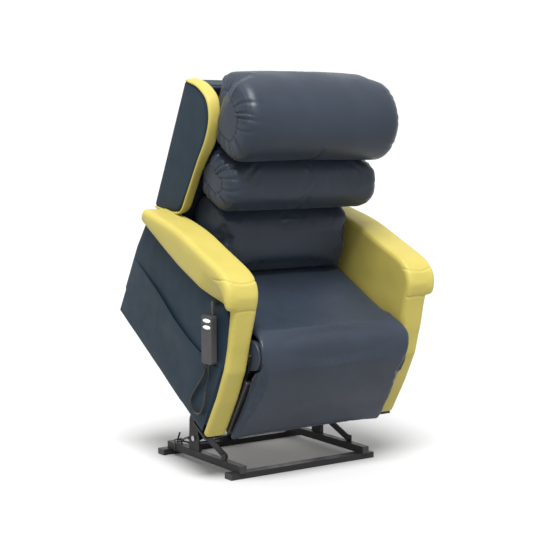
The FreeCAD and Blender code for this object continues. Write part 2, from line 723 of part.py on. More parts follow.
def build_chassis():
    grouped("chassis_rails", mirrored("chassis_rail", "chassis_rail", "chassis_rail_inner",
                                      "chassis_rail_width", bore="chassis_rail_bore"), in_chair)
    crossbars = [section("front_crossbar", "front_crossbar", "-front_crossbar_half",
                         "2 * front_crossbar_half")]
    crossbars += [section(name, name, "-chassis_half", "2 * chassis_half")
                  for name in ("middle_crossbar", "rear_crossbar")]
    grouped("chassis_crossbars", crossbars, in_chair)
    running = "pin_radius + running_gap"
    brackets = mirrored("chair_bracket", "chair_bracket", "bracket_inner", "bracket_thick",
                        holes=[("link_pin_depth", "link_pin_height", running),
                               ("upper_pin_depth", "upper_pin_height", running)])
    brackets += mirrored("foot_plate", "foot_plate", "inner_panel + foot_plate_inset",
                         "outer_panel - inner_panel - foot_plate_inset + 2 * foot_plate_past")
    grouped("chair_brackets", brackets, in_chair)
    lugs = lug_pair("rod_lug", "rod_lug", "0", ("lift_end_depth", "lift_end_height", running))
    lugs += lug_pair("recline_foot", "recline_foot", "recline_x",
                     ("recline_foot_depth", "recline_foot_height", running))
    lugs.append(section("legrest_foot", "legrest_foot", "front_crossbar_half", "lug_thick",
                        holes=[("legrest_foot_depth", "legrest_foot_height", running)]))
    grouped("actuator_lugs", lugs, in_chair)
    build_chair_pins()
    profile("seat_deck", "seat_deck", "-seat_half", "2 * seat_half")
    profile("control_box", "control_box", "-control_box_outer", "control_box_length",
            edge_round="control_box_round")
    hinge_hole = "hinge_pin_radius + running_gap"
    plates = mirrored("knee_plate", "knee_plate", "knee_plate_inner", "hinge_plate_thick",
                      holes=[("knee_depth", "knee_height", hinge_hole)])
    plates += mirrored("back_hinge_bracket", "back_plate_fixed", "fixed_plate_inner", "hinge_plate_thick",
                       holes=[("back_pivot_depth", "back_pivot_height", hinge_hole)])
    grouped("chassis_hinge_plates", plates, in_chair)


def build_chair_pins():
    """The pins that the chassis holds: the links', the actuators' and the two hinges'."""
    pins = []
    for level in ("link", "upper"):
        pins += pin_pair(f"{level}_chair_pin", "pin_radius", "bracket_inner - 2",
                         "link_inner + plate_thick + 1", f"{level}_pin_depth", f"{level}_pin_height")
    lug_face = "lug_gap + lug_thick + pin_end"
    pins.append(pin("lift_rod_pin", "pin_radius", f"-({lug_face})", lug_face,
                    "lift_end_depth", "lift_end_height"))
    pins.append(pin("recline_foot_pin", "pin_radius", f"recline_x - ({lug_face})",
                    f"recline_x + {lug_face}", "recline_foot_depth", "recline_foot_height"))
    pins.append(pin("legrest_foot_pin", "pin_radius", "front_crossbar_half - 1", "legrest_drive_x + 12",
                    "legrest_foot_depth", "legrest_foot_height"))
    pins += pin_pair("knee_pin", "hinge_pin_radius", "legrest_arm_inner - 1",
                     "knee_plate_inner + hinge_plate_thick", "knee_depth", "knee_height")
    pins += pin_pair("back_pin", "hinge_pin_radius", "back_plate_inner - 2",
                     "fixed_plate_inner + hinge_plate_thick + 2", "back_pivot_depth", "back_pivot_height")
    grouped("chair_pins", pins, in_chair)


def build_arms():
    both_sides("arm_outer_panel", "outer_panel", "outer_panel", "arm_outer - outer_panel")
    boards = mirrored("inner_panel", "inner_panel", "inner_panel", "inner_panel_thick")
    boards += mirrored("rear_panel", "rear_panel", "inner_panel + inner_panel_thick",
                       "outer_panel - inner_panel - inner_panel_thick")
    grouped("arm_boards", boards, in_chair)
    both_sides("arm_front_panel", "front_panel", "inner_panel", "arm_outer - inner_panel")
    both_sides("arm_pad", "arm_pad", "pad_inner", "pad_outer - pad_inner")
    pockets = mirrored("pocket", "pocket", "arm_outer + pocket_gap", "pocket_thick")
    for hem in ("bottom", "front", "rear"):
        pockets += mirrored(f"pocket_hem_{hem}", f"pocket_hem_{hem}", "arm_outer", "pocket_gap")
    grouped("arm_pockets", pockets, in_chair)


def build_wheels():
    bore = "axle_radius + running_gap"
    where = ("wheel_depth", "wheel_height")
    face = "wheel_inner + wheel_width"
    for side, low, high in (("left", "wheel_inner", face), ("right", f"-({face})", "-wheel_inner")):
        tyre = pin(f"tyre_{side}", "wheel_radius", low, high, *where)
        hole = pin(f"wheel_bore_{side}", bore, f"{low} - 2", f"{high} + 2", *where)
        piece(in_chair(cut(f"wheel_{side}_shape", tyre, hole)), f"rear_wheel_{side}")
    inner = "inner_panel + inner_panel_thick"
    brackets = mirrored("wheel_bracket", "wheel_bracket", inner, f"wheel_inner - 3 - ({inner})",
                        holes=[where + (bore,)])
    brackets += pin_pair("wheel_axle", "axle_radius", inner, f"{face} + 1", *where)
    grouped("wheel_brackets", brackets, in_chair)


def build_seat():
    profile("seat_cushion", "seat_cushion", "-seat_half", "2 * seat_half",
            arcs={0: ("knee_radius", 1), 1: ("knee_radius", 1)})


def build_legrest():
    profile("legrest_board", "legrest_board", "-legrest_board_half", "2 * legrest_board_half")
    profile("legrest_pad", "legrest_pad", "-legrest_half", "2 * legrest_half",
            arcs={2: ("pad_top_radius", -1)})
    arms = mirrored("legrest_arm", "legrest_arm", "legrest_arm_inner", "legrest_arm_thick",
                    holes=[("knee_depth", "knee_height", "hinge_pin_radius + running_gap")])
    arms.append(pin("legrest_drive_pin", "drive_pin_radius", "legrest_drive_x - 8",
                    "legrest_arm_inner + 1", "legrest_end_depth", "legrest_end_height"))
    grouped("legrest_arms", arms, in_chair)


def build_back():
    profile("back_board", "back_board", "-back_half", "2 * back_half")
    profile("outer_back", "outer_back", "-wing_outer", "2 * wing_outer", edge_round="outer_back_round")
    both_sides("wing", "wing", "wing_inner", "wing_outer - wing_inner")
    both_sides("wing_band", "wing_band", "wing_inner", "band_outer - wing_inner")
    for name in ("head", "middle"):
        between_wings = section(f"{name}_between_wings", f"{name}_cushion", f"-{name}_half",
                                f"2 * {name}_half", edge_round="cushion_round")
        front = section(f"{name}_before_wings", f"{name}_front", f"-{name}_front_half",
                        f"2 * {name}_front_half")
        piece(in_chair(join(f"{name}_cushion", [between_wings, front])), f"{name}_cushion")
    profile("lower_cushion", "lower_cushion", "-lower_half", "2 * lower_half", edge_round="cushion_round")
    plates = mirrored("back_hinge_plate", "back_plate_moving", "back_plate_inner", "hinge_plate_thick",
                      holes=[("back_pivot_depth", "back_pivot_height", "hinge_pin_radius + running_gap")])
    grouped("back_hinge_plates", plates, in_chair)
    end = ("recline_end_depth", "recline_end_height")
    levers = [section(f"recline_lever_{side}", "recline_lever", f"recline_x {low}", "hinge_plate_thick",
                      holes=[end + ("drive_pin_radius + running_gap",)])
              for side, low in (("left", "+ lever_gap"), ("right", "- lever_gap - hinge_plate_thick"))]
    levers.append(pin("recline_lever_pin", "drive_pin_radius", "recline_x - lever_pin_half",
                      "recline_x + lever_pin_half", *end))
    grouped("recline_lever", levers, in_chair)


# Handset, which hangs on the right arm's outer panel

def oval(name, grow, start, thick, height):
    """A slot-shaped solid, grown all round by the formula grow."""
    half = "(button_length / 2 - button_radius)"
    radius = f"button_radius + {grow}"
    middle = box(name + "_middle", (start, f"button_depth - {half}", f"{height} - button_radius - {grow}"),
                 (thick, f"2 * {half}", f"2 * ({radius})"))
    ends = [rod(f"{name}_{end}", radius, thick, (start, f"button_depth {sign} {half}", height))
            for end, sign in (("front", "-"), ("rear", "+"))]
    return join(name, [middle] + ends)


def build_handset():
    face = "-handset_rear - handset_thick"
    body, sketch = new_profile("handset_block")
    draw_outline(sketch, "handset_face", {})
    pad_profile(body, sketch, "handset_thick", edge_round="handset_round")
    bind(body, x=face)
    wells = [oval(f"handset_well_{level}", "button_gap", f"{face} - 1", "button_pocket + 1", f"button_{level}")
             for level in ("upper", "lower")]
    piece(in_base(cut("handset_shape", body, join("handset_wells", wells))), "handset")
    for level in ("upper", "lower"):
        button = oval(f"button_{level}_oval", "0", f"{face} - button_proud", "button_thick", f"button_{level}")
        grouped(f"handset_button_{level}", [button], in_base)
    strap_face = "-handset_rear - strap_gap"
    strap = box("strap_band", (strap_face, "strap_depth", "strap_bottom"),
                ("strap_thick", "strap_width", "strap_length"))
    clip = box("strap_clip", (strap_face, "strap_depth - (clip_width - strap_width) / 2", "clip_bottom"),
               ("clip_reach", "clip_width", "clip_tall"))
    grouped("handset_strap", [join("handset_strap_solid", [strap, clip])], in_base)
    gland = rod("handset_gland", "gland_radius", "gland_height", ("gland_x", "gland_depth", "gland_bottom"),
                along="z")
    entry = box("cord_entry", ("-arm_outer - entry_reach", "entry_depth", "entry_bottom"),
                ("entry_reach", "entry_width", "entry_tall"))
    grouped("handset_cord_glands", [gland, entry], in_base)


# Cords, as tubes along straight runs joined by tangent arcs

CURLY_ROUTE = [(-407, -27, 395), (-406.5, -24, 378), (-404.5, -6, 355), (-400.5, 30, 324), (-400, 66, 288),
               (-400, 84, 256), (-400, 62, 228), (-400, 22, 227), (-400, 0, 254), (-400, -9, 290),
               (-400, -14, 322)]
LEAD_ROUTE = [(-400, -14, 322), (-399, -20, 338), (-397.6, -28, 358), (-397.2, -29, 378),
              (-397.2, -30, 399), (-397.2, -30, 420)]
MOTOR_ROUTE = [(-261, 326.8, 80), (-260, 350, 74), (-257, 376, 60), (-254, 396, 52.5), (-248, 430, 52.5),
               (-226, 449, 48), (-196, 456, 32), (-156, 458, 24), (-110, 456, 23.4), (-72, 459, 24),
               (-44, 460, 26)]


def rounded_path(points):
    """Straight runs joined by tangent arcs, each as large as its two runs allow."""
    points = [FreeCAD.Vector(*point) for point in points]
    edges = []
    radii = []
    start = points[0]
    for before, corner, after in zip(points, points[1:], points[2:]):
        inward = (corner - before).normalize()
        outward = (after - corner).normalize()
        turn = inward.getAngle(outward)
        trim = 0.45 * min((corner - before).Length, (after - corner).Length)
        radii.append(trim / math.tan(turn / 2))
        entry = corner - inward * trim
        leave = corner + outward * trim
        centre = corner + (outward - inward).normalize() * (radii[-1] / math.cos(turn / 2))
        crown = centre + (corner - centre).normalize() * radii[-1]
        edges.append(Part.LineSegment(start, entry).toShape())
        edges.append(Part.Arc(entry, crown, leave).toShape())
        start = leave
    edges.append(Part.LineSegment(start, points[-1]).toShape())
    return Part.Wire(edges), radii


def tube(name, route, radius):
    """A round tube along a route, whose volume must be its section times its length."""
    path, radii = rounded_path(route)
    size = CELLS[radius]
    start = path.Edges[0].valueAt(path.Edges[0].FirstParameter)
    ahead = path.Edges[0].tangentAt(path.Edges[0].FirstParameter)
    section = Part.Wire([Part.Circle(start, ahead, size).toShape()])
    solid = path.makePipeShell([section], True, True)
    expected = math.pi * size * size * path.Length
    print(f"{name}: length {path.Length:.1f}, radii", [round(value) for value in radii],
          f"volume {solid.Volume / expected:.4f} of section times length")
    item = doc.addObject("Part::Feature", name + "_shape")
    item.Shape = solid
    piece(in_base(item), name)


def build_cords():
    tube("handset_curly_cord", CURLY_ROUTE, "curl_radius")
    tube("handset_lead", LEAD_ROUTE, "lead_radius")
    tube("motor_cable", MOTOR_ROUTE, "motor_cable_radius")
    gland = rod("motor_gland", "motor_gland_radius", "motor_gland_length",
                ("motor_gland_x", "motor_gland_depth", "motor_gland_height"), along="y")
    plug = box("motor_plug", ("plug_x", "plug_front", "plug_bottom"), ("plug_length", "plug_depth", "plug_tall"))
    loop = cut("tie_loop", box("tie_outside", ("tie_x", "tie_front", "tie_bottom"),
                               ("tie_across", "tie_width", "tie_tall")),
               box("tie_inside", ("tie_x + tie_wall", "tie_front - 1", "tie_bottom + tie_wall"),
                   ("tie_across - 2 * tie_wall", "tie_width + 2", "tie_tall - 2 * tie_wall")))
    tail = bind(turned(doc.addObject("Part::Box", "tie_tail")),
                Length="tail_width", Width="tail_length", Height="tail_thick",
                x="tail_x", y="tie_front", z="tail_bottom", angle="tail_angle")
    grouped("motor_cable_fittings", [gland, plug, join("cable_tie", [loop, tail])], in_base)


def check_and_export():
    """Stop if any object failed, then write each piece to its own file."""
    doc.recompute()
    for item in doc.Objects:
        if any(state in ("Invalid", "Error") for state in item.State):
            raise RuntimeError(f"{item.Name} did not build: {item.State}")
    for item in PIECES:
        if item.Shape.isNull() or not item.Shape.isValid() or not item.Shape.Solids:
            raise RuntimeError(f"{item.Label} has no valid solid")
    os.makedirs("parts", exist_ok=True)
    for item in PIECES:
        item.Shape.exportStep(f"parts/{item.Label}.step")
    print(len(PIECES), "pieces")


build_base()
build_linkage()
build_actuators()
build_chassis()
build_arms()
build_wheels()
build_seat()
build_legrest()
build_back()
build_handset()
build_cords()
check_and_export()
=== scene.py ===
"""Looks of the lift recliner chair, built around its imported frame, in metres.

+X is to the sitter's left, +Y to the rear and +Z up. Soft pieces are drawn in the chair's own upright
frame, in millimetres: x, then depth from the bottom front corner of the side panels, then height. An
OUTLINE is the (depth, height) corners of a side view, and a HALF is the distance from the chair's middle
to a piece's side. Left pieces are made and then mirrored.
"""

import json
import math

import bmesh
import bpy
import numpy as np
from mathutils import Matrix, Vector


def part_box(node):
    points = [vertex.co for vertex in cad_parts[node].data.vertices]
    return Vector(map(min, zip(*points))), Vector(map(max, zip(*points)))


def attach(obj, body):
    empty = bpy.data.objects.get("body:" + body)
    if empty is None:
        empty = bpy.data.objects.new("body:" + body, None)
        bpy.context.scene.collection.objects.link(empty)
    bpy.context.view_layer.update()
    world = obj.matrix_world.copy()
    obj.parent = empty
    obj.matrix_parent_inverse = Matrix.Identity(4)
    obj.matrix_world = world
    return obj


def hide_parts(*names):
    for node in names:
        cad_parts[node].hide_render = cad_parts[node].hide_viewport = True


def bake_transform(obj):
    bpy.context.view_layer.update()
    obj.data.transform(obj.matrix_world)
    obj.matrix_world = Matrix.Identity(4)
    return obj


MM = 0.001
SEED = 7
LEAST_BEND = 0.02
CLOTH_STIFFNESS = 20
CLOTH_BENDING = 2
CLOTH_FRAMES = 20

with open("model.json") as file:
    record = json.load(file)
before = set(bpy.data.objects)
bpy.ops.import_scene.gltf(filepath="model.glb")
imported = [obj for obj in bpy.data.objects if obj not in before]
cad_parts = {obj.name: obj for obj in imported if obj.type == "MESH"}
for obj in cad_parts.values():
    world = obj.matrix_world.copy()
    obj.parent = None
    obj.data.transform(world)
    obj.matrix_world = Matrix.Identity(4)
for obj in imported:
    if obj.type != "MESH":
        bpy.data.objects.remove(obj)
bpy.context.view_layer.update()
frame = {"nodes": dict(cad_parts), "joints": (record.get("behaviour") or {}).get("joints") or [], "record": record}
JOINTS = {joint["name"]: joint for joint in frame["joints"]}
BASE_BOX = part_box("base_crossbars")


# The chair's own frame, found from two of its hinges

KNEE = np.array((20.0, 310.0))
BACK_HINGE = np.array((585.0, 318.0))
KNEE_PLACE = np.array(JOINTS["legrest_lift"]["pos_m"][1:])
BACK_PLACE = np.array(JOINTS["back_recline"]["pos_m"][1:])


def bearing(vector):
    return math.atan2(vector[1], vector[0])


LEAN = bearing(BACK_PLACE - KNEE_PLACE) - bearing(BACK_HINGE - KNEE)
TURN = np.array(((math.cos(LEAN), -math.sin(LEAN)), (math.sin(LEAN), math.cos(LEAN))))


def to_row(points):
    """Points of the chair's frame, in mm, as points of the row's frame, in metres."""
    points = np.atleast_2d(np.asarray(points, float))
    side = (points[:, 1:] - KNEE) @ TURN.T * MM + KNEE_PLACE
    return np.column_stack((points[:, 0] * MM, side))


def to_chair(points):
    """Points of the row's frame, in metres, as points of the chair's frame, in mm."""
    points = np.asarray(points, float)
    side = (points[:, 1:] - KNEE_PLACE) / MM @ TURN + KNEE
    return np.column_stack((points[:, 0] / MM, side))


def from_base(x, depth, height):
    """A point of the base's frame, whose origin is on the floor at the front crossbar, in metres."""
    return (x * MM, BASE_BOX[0].y + depth * MM, height * MM)


# Meshes

def mesh_object(name, points, faces):
    mesh = bpy.data.meshes.new(name)
    mesh.from_pydata([tuple(point) for point in points], [], faces)
    mesh.update()
    item = bpy.data.objects.new(name, mesh)
    bpy.context.scene.collection.objects.link(item)
    return item


def ring_faces(rings, count):
    """The faces between closed rings of points that are listed ring by ring."""
    faces = []
    for ring in range(rings - 1):
        for number in range(count):
            here, beside = ring * count + number, ring * count + (number + 1) % count
            faces.append((here, beside, beside + count, here + count))
    return faces


def grid_faces(columns, rows):
    """The faces of a grid of points that are listed column by column."""
    faces = []
    for column in range(columns - 1):
        for row in range(rows - 1):
            first = column * rows + row
            faces.append((first, first + rows, first + rows + 1, first + 1))
    return faces


def coordinates(item):
    flat = np.zeros(len(item.data.vertices) * 3)
    item.data.vertices.foreach_get("co", flat)
    return flat.reshape(-1, 3)


def normals(item):
    flat = np.zeros(len(item.data.vertices) * 3)
    item.data.vertices.foreach_get("normal", flat)
    return flat.reshape(-1, 3)


def set_coordinates(item, points):
    item.data.vertices.foreach_set("co", np.asarray(points, np.float32).ravel())
    item.data.update()


def apply_modifiers(item):
    """Keep what the modifiers make as the piece's own mesh."""
    depsgraph = bpy.context.evaluated_depsgraph_get()
    mesh = bpy.data.meshes.new_from_object(item.evaluated_get(depsgraph))
    old = item.data
    item.modifiers.clear()
    item.data = mesh
    bpy.data.meshes.remove(old)


def remesh(item, voxel):
    step = item.modifiers.new("remesh", "REMESH")
    step.mode = "VOXEL"
    step.voxel_size = voxel * MM
    apply_modifiers(item)


def relax(item, rounds):
    step = item.modifiers.new("relax", "SMOOTH")
    step.factor = 0.5
    step.iterations = rounds
    apply_modifiers(item)


def subdivide(item):
    step = item.modifiers.new("subdivide", "SUBSURF")
    step.levels = 1
    step.render_levels = 1
    apply_modifiers(item)


def prism(name, outline, low, high):
    """A block with a side outline of the chair's frame, from x low to high."""
    count = len(outline)
    points = [(x, depth, height) for x in (low, high) for depth, height in outline]
    faces = [tuple(range(count)), tuple(range(2 * count - 1, count - 1, -1))]
    faces += [(i, count + i, count + (i + 1) % count, (i + 1) % count) for i in range(count)]
    item = mesh_object(name, to_row(points), faces)
    edit = bmesh.new()
    edit.from_mesh(item.data)
    bmesh.ops.recalc_face_normals(edit, faces=edit.faces)
    edit.to_mesh(item.data)
    edit.free()
    return item


def merged(name, items):
    """Several meshes as one object."""
    edit = bmesh.new()
    for item in items:
        edit.from_mesh(item.data)
        bpy.data.objects.remove(item)
    mesh = bpy.data.meshes.new(name)
    edit.to_mesh(mesh)
    edit.free()
    whole = bpy.data.objects.new(name, mesh)
    bpy.context.scene.collection.objects.link(whole)
    return whole


def mirror(item, name):
    """The same piece on the other side of the chair."""
    mesh = item.data.copy()
    mesh.transform(Matrix.Scale(-1, 4, (1, 0, 0)))
    mesh.flip_normals()
    twin = bpy.data.objects.new(name, mesh)
    bpy.context.scene.collection.objects.link(twin)
    return twin


def section(node, x):
    """The side outline, in the chair's frame, of a CAD node where the plane at x in mm cuts it."""
    edit = bmesh.new()
    edit.from_mesh(frame["nodes"][node].data)
    bmesh.ops.remove_doubles(edit, verts=edit.verts, dist=1e-6)
    whole = edit.verts[:] + edit.edges[:] + edit.faces[:]
    cut = bmesh.ops.bisect_plane(edit, geom=whole, plane_co=(x * MM, 0, 0), plane_no=(1, 0, 0))
    links = {}
    for edge in (part for part in cut["geom_cut"] if isinstance(part, bmesh.types.BMEdge)):
        for here, there in (edge.verts, reversed(edge.verts)):
            links.setdefault(here, []).append(there)
    start = next(iter(links))
    loop, before, here = [start], None, start
    while True:
        following = next(vert for vert in links[here] if vert is not before)
        if following is start:
            break
        loop.append(following)
        before, here = here, following
    outline = to_chair([vert.co for vert in loop])[:, 1:]
    edit.free()
    return without_straights(outline)


def without_straights(outline):
    """Drop the points that lie on a straight side."""
    kept = []
    for index, point in enumerate(outline):
        ahead = outline[(index + 1) % len(outline)] - point
        behind = point - outline[index - 1]
        turn = abs(ahead[0] * behind[1] - ahead[1] * behind[0])
        if turn > LEAST_BEND * np.linalg.norm(ahead) * np.linalg.norm(behind):
            kept.append(point)
    return np.array(kept)


def rounded(outline, rounds):
    """Cut the corners of a closed outline that many times, so that it curves."""
    outline = np.asarray(outline, float)
    for _ in range(rounds):
        following = np.roll(outline, -1, axis=0)
        outline = np.stack((0.75 * outline + 0.25 * following, 0.25 * outline + 0.75 * following), axis=1)
        outline = outline.reshape(-1, 2)
    return outline


def smooth_path(corners, count):
    """Points along a smooth open line through its corners."""
    corners = np.array(corners, float)
    last = len(corners) - 1
    places = np.linspace(0, last, count)
    spans = np.minimum(places.astype(int), last - 1)
    share = (places - spans)[:, None]
    before = corners[np.maximum(spans - 1, 0)]
    start, end = corners[spans], corners[spans + 1]
    after = corners[np.minimum(spans + 2, last)]
    return 0.5 * (2 * start + (end - before) * share + (2 * before - 5 * start + 4 * end - after) * share**2
                  + (3 * start - before - 3 * end + after) * share**3)


def from_edge(points, outline):
    """How far each point is inside the outline, and the direction inwards from its nearest side."""
    starts = np.asarray(outline, float)
    sides = np.roll(starts, -1, axis=0) - starts
    lengths = np.linalg.norm(sides, axis=1)
    area = np.sum(starts[:, 0] * np.roll(starts[:, 1], -1) - np.roll(starts[:, 0], -1) * starts[:, 1])
    inward = np.column_stack((-sides[:, 1], sides[:, 0])) / lengths[:, None] * np.sign(area)
    away = points[:, None, :] - starts
    share = np.clip(np.sum(away * sides, axis=2) / lengths**2, 0, 1)
    gaps = np.linalg.norm(away - share[..., None] * sides, axis=2)
    nearest = np.argmin(gaps, axis=1)
    rows = np.arange(len(points))
    signed = np.sum(away[rows, nearest] * inward[nearest], axis=1)
    return np.where(signed < 0, 0.0, gaps[rows, nearest]), inward[nearest]


def round_ends(item, outline, low, high, radius):
    """Round the edges between a block's two ends and its sides."""
    points = to_chair(coordinates(item))
    inside, inward = from_edge(points[:, 1:], outline)
    to_end = np.minimum(points[:, 0] - low, high - points[:, 0])
    along = np.clip(1 - to_end / radius, 0, 1)
    across = np.clip(1 - inside / radius, 0, 1)
    largest = np.maximum(along, across)
    share = np.where(largest > 0, largest / np.maximum(np.hypot(along, across), 1e-9), 1.0)
    towards = np.where(points[:, 0] - low < high - points[:, 0], 1.0, -1.0)
    points[:, 0] += towards * radius * along * (1 - share)
    points[:, 1:] += inward * (radius * across * (1 - share))[:, None]
    set_coordinates(item, to_row(points))


def crown(item, outline, low, high, rise, reach):
    """Swell a block's two ends outwards, away from their edges."""
    points = to_chair(coordinates(item))
    inside, _ = from_edge(points[:, 1:], outline)
    middle = (low + high) / 2
    share = (points[:, 0] - middle) / ((high - low) / 2)
    points[:, 0] += share * rise * (1 - np.exp(-inside / reach))
    set_coordinates(item, to_row(points))


def push(item, distance):
    """Move every point along its normal, outwards where the distances, in mm, are positive."""
    set_coordinates(item, coordinates(item) + normals(item) * np.reshape(distance, (-1, 1)) * MM)


def groove(item, path, width, depth):
    """Press a sewn channel into a piece, along the surface nearest to a path of the chair's frame."""
    points = to_chair(coordinates(item))
    path = [points[np.argmin(np.linalg.norm(points - place, axis=1))] for place in smooth_path(path, 40)]
    gap = np.full(len(points), np.inf)
    for start, end in zip(path[:-1], path[1:]):
        side = end - start
        share = np.clip((points - start) @ side / max(side @ side, 1e-9), 0, 1)
        gap = np.minimum(gap, np.linalg.norm(points - start - share[:, None] * side, axis=1))
    push(item, -depth * np.exp(-(gap / width) ** 2))


def waves(points, wavelength, seed):
    """Soft unevenness from a few long waves in random directions, from about -1 to 1."""
    random = np.random.default_rng(seed)
    total = np.zeros(len(points))
    for _ in range(6):
        direction = random.normal(size=3)
        direction /= np.linalg.norm(direction) * wavelength * random.uniform(0.7, 1.4)
        total += np.sin(points @ direction * 2 * math.pi + random.uniform(0, 2 * math.pi))
    return total / 6


def simulate(settings):
    """Puff up the pieces as pressurised cloth; settings has each piece, its pressure and its cap in mm."""
    before = {}
    for item, pressure, _ in settings:
        before[item.name] = coordinates(item)
        cloth = item.modifiers.new("cloth", "CLOTH").settings
        cloth.quality = 4
        cloth.tension_stiffness = CLOTH_STIFFNESS
        cloth.compression_stiffness = CLOTH_STIFFNESS
        cloth.bending_stiffness = CLOTH_BENDING
        cloth.use_pressure = True
        cloth.uniform_pressure_force = pressure
        cloth.effector_weights.gravity = 0
    scene = bpy.context.scene
    for number in range(1, CLOTH_FRAMES + 1):
        scene.frame_set(number)
    for item, _, cap in settings:
        apply_modifiers(item)
        start = before[item.name]
        moved = coordinates(item) - start
        length = np.linalg.norm(moved, axis=1)
        scale = np.minimum(1, cap * MM / np.maximum(length, 1e-9))
        set_coordinates(item, start + moved * scale[:, None])
    scene.frame_set(1)


def smooth_shading(item):
    for face in item.data.polygons:
        face.use_smooth = True


def as_mesh(item):
    """Turn a curve object into a mesh object, in place."""
    depsgraph = bpy.context.evaluated_depsgraph_get()
    mesh = bpy.data.meshes.new_from_object(item.evaluated_get(depsgraph))
    name = item.name
    bpy.data.objects.remove(item)
    made = bpy.data.objects.new(name, mesh)
    bpy.context.scene.collection.objects.link(made)
    return made


def tube(name, points, radius):
    """A round bead along points of the row's frame."""
    curve = bpy.data.curves.new(name, "CURVE")
    curve.dimensions = "3D"
    curve.bevel_depth = radius * MM
    curve.bevel_resolution = 3
    line = curve.splines.new("NURBS")
    line.points.add(len(points) - 1)
    for knot, point in zip(line.points, points):
        knot.co = (*point, 1)
    line.order_u = 3
    line.use_endpoint_u = True
    item = bpy.data.objects.new(name, curve)
    bpy.context.scene.collection.objects.link(item)
    return item


# Materials

COLOUR_INPUTS = (6, 7)
COLOUR_OUTPUT = 2


def linear(red, green, blue):
    """An sRGB colour from 0 to 255 as linear numbers."""
    return tuple(((c / 255 + 0.055) / 1.055) ** 2.4 if c > 10 else c / 255 / 12.92
                 for c in (red, green, blue))


def toned(colour, gain, lift=0.0):
    """A lighter or darker version of a linear colour."""
    return tuple(c * gain + lift for c in colour)


class Shader:
    """A new material with its main shader, and short ways to add nodes to it."""

    def __init__(self, name, roughness, **sockets):
        self.material = bpy.data.materials.new(name)
        self.material.use_nodes = True
        self.nodes = self.material.node_tree.nodes
        self.links = self.material.node_tree.links
        self.main = self.nodes["Principled BSDF"]
        self.main.inputs["Roughness"].default_value = roughness
        for key, value in sockets.items():
            self.main.inputs[key.replace("_", " ")].default_value = value
        self.place = self.nodes.new("ShaderNodeTexCoord").outputs["Object"]

    def noise(self, scale, detail, stretch=(1, 1, 1)):
        mapping = self.nodes.new("ShaderNodeMapping")
        mapping.inputs["Scale"].default_value = stretch
        self.links.new(self.place, mapping.inputs["Vector"])
        node = self.nodes.new("ShaderNodeTexNoise")
        node.inputs["Scale"].default_value = scale
        node.inputs["Detail"].default_value = detail
        self.links.new(mapping.outputs["Vector"], node.inputs["Vector"])
        return node.outputs["Fac"]

    def cells(self, scale):
        node = self.nodes.new("ShaderNodeTexVoronoi")
        node.inputs["Scale"].default_value = scale
        self.links.new(self.place, node.inputs["Vector"])
        return node.outputs["Distance"]

    def wave(self, scale, direction, distortion):
        node = self.nodes.new("ShaderNodeTexWave")
        node.bands_direction = direction
        node.inputs["Scale"].default_value = scale
        node.inputs["Distortion"].default_value = distortion
        self.links.new(self.place, node.inputs["Vector"])
        return node.outputs["Fac"]

    def pointiness(self):
        return self.nodes.new("ShaderNodeNewGeometry").outputs["Pointiness"]

    def spread(self, value, low, high, start=0.3, end=0.7):
        node = self.nodes.new("ShaderNodeMapRange")
        node.inputs["From Min"].default_value = start
        node.inputs["From Max"].default_value = end
        node.inputs["To Min"].default_value = low
        node.inputs["To Max"].default_value = high
        self.links.new(value, node.inputs["Value"])
        return node.outputs["Result"]

    def blend(self, share, first, second):
        """Mix two colours, each a tuple or another node's output."""
        node = self.nodes.new("ShaderNodeMix")
        node.data_type = "RGBA"
        self.links.new(share, node.inputs["Factor"])
        for number, colour in zip(COLOUR_INPUTS, (first, second)):
            if isinstance(colour, tuple):
                node.inputs[number].default_value = (*colour, 1)
            else:
                self.links.new(colour, node.inputs[number])
        return node.outputs[COLOUR_OUTPUT]

    def colour(self, value):
        self.links.new(value, self.main.inputs["Base Color"])

    def rough(self, value):
        self.links.new(value, self.main.inputs["Roughness"])

    def bump(self, height, distance, strength):
        """Add relief of that many mm on top of the relief so far."""
        node = self.nodes.new("ShaderNodeBump")
        node.inputs["Distance"].default_value = distance * MM
        node.inputs["Strength"].default_value = strength
        self.links.new(height, node.inputs["Height"])
        normal = self.main.inputs["Normal"]
        if normal.is_linked:
            self.links.new(normal.links[0].from_socket, node.inputs["Normal"])
        self.links.new(node.outputs["Normal"], normal)


def vinyl(name, colour, shade, roughness, shine):
    """Soft upholstery vinyl: fine pebbled grain, uneven tone, and a lighter colour on its convex edges."""
    look = Shader(name, roughness, Sheen_Weight=0.03, Sheen_Roughness=0.45, Specular_IOR_Level=shine)
    tone = look.blend(look.spread(look.noise(5, 4), 0, 1), shade, colour)
    # a lighter colour where pointiness is high, on the convex edges
    convex_edge_colour = toned(colour, 1.35, 0.01)
    look.colour(look.blend(look.spread(look.pointiness(), 0, 0.6, 0.52, 0.62), tone, convex_edge_colour))
    look.rough(look.spread(look.noise(18, 5), roughness - 0.06, roughness + 0.08))
    look.bump(look.noise(60, 4), 0.5, 0.35)
    look.bump(look.cells(650), 0.22, 0.55)
    return look.material


def coated_steel(name, colour, bare):
    """Powder-coated steel: orange-peel relief, dust in the flats and metal at worn edges."""
    look = Shader(name, 0.42, Specular_IOR_Level=0.18)
    tone = look.blend(look.spread(look.noise(9, 6), 0, 1), colour, toned(colour, 1.7, 0.004))
    look.colour(look.blend(look.spread(look.pointiness(), 0, 0.8, 0.56, 0.7), tone, bare))
    look.rough(look.spread(look.noise(25, 6), 0.34, 0.52))
    look.bump(look.noise(420, 2), 0.12, 0.5)
    return look.material


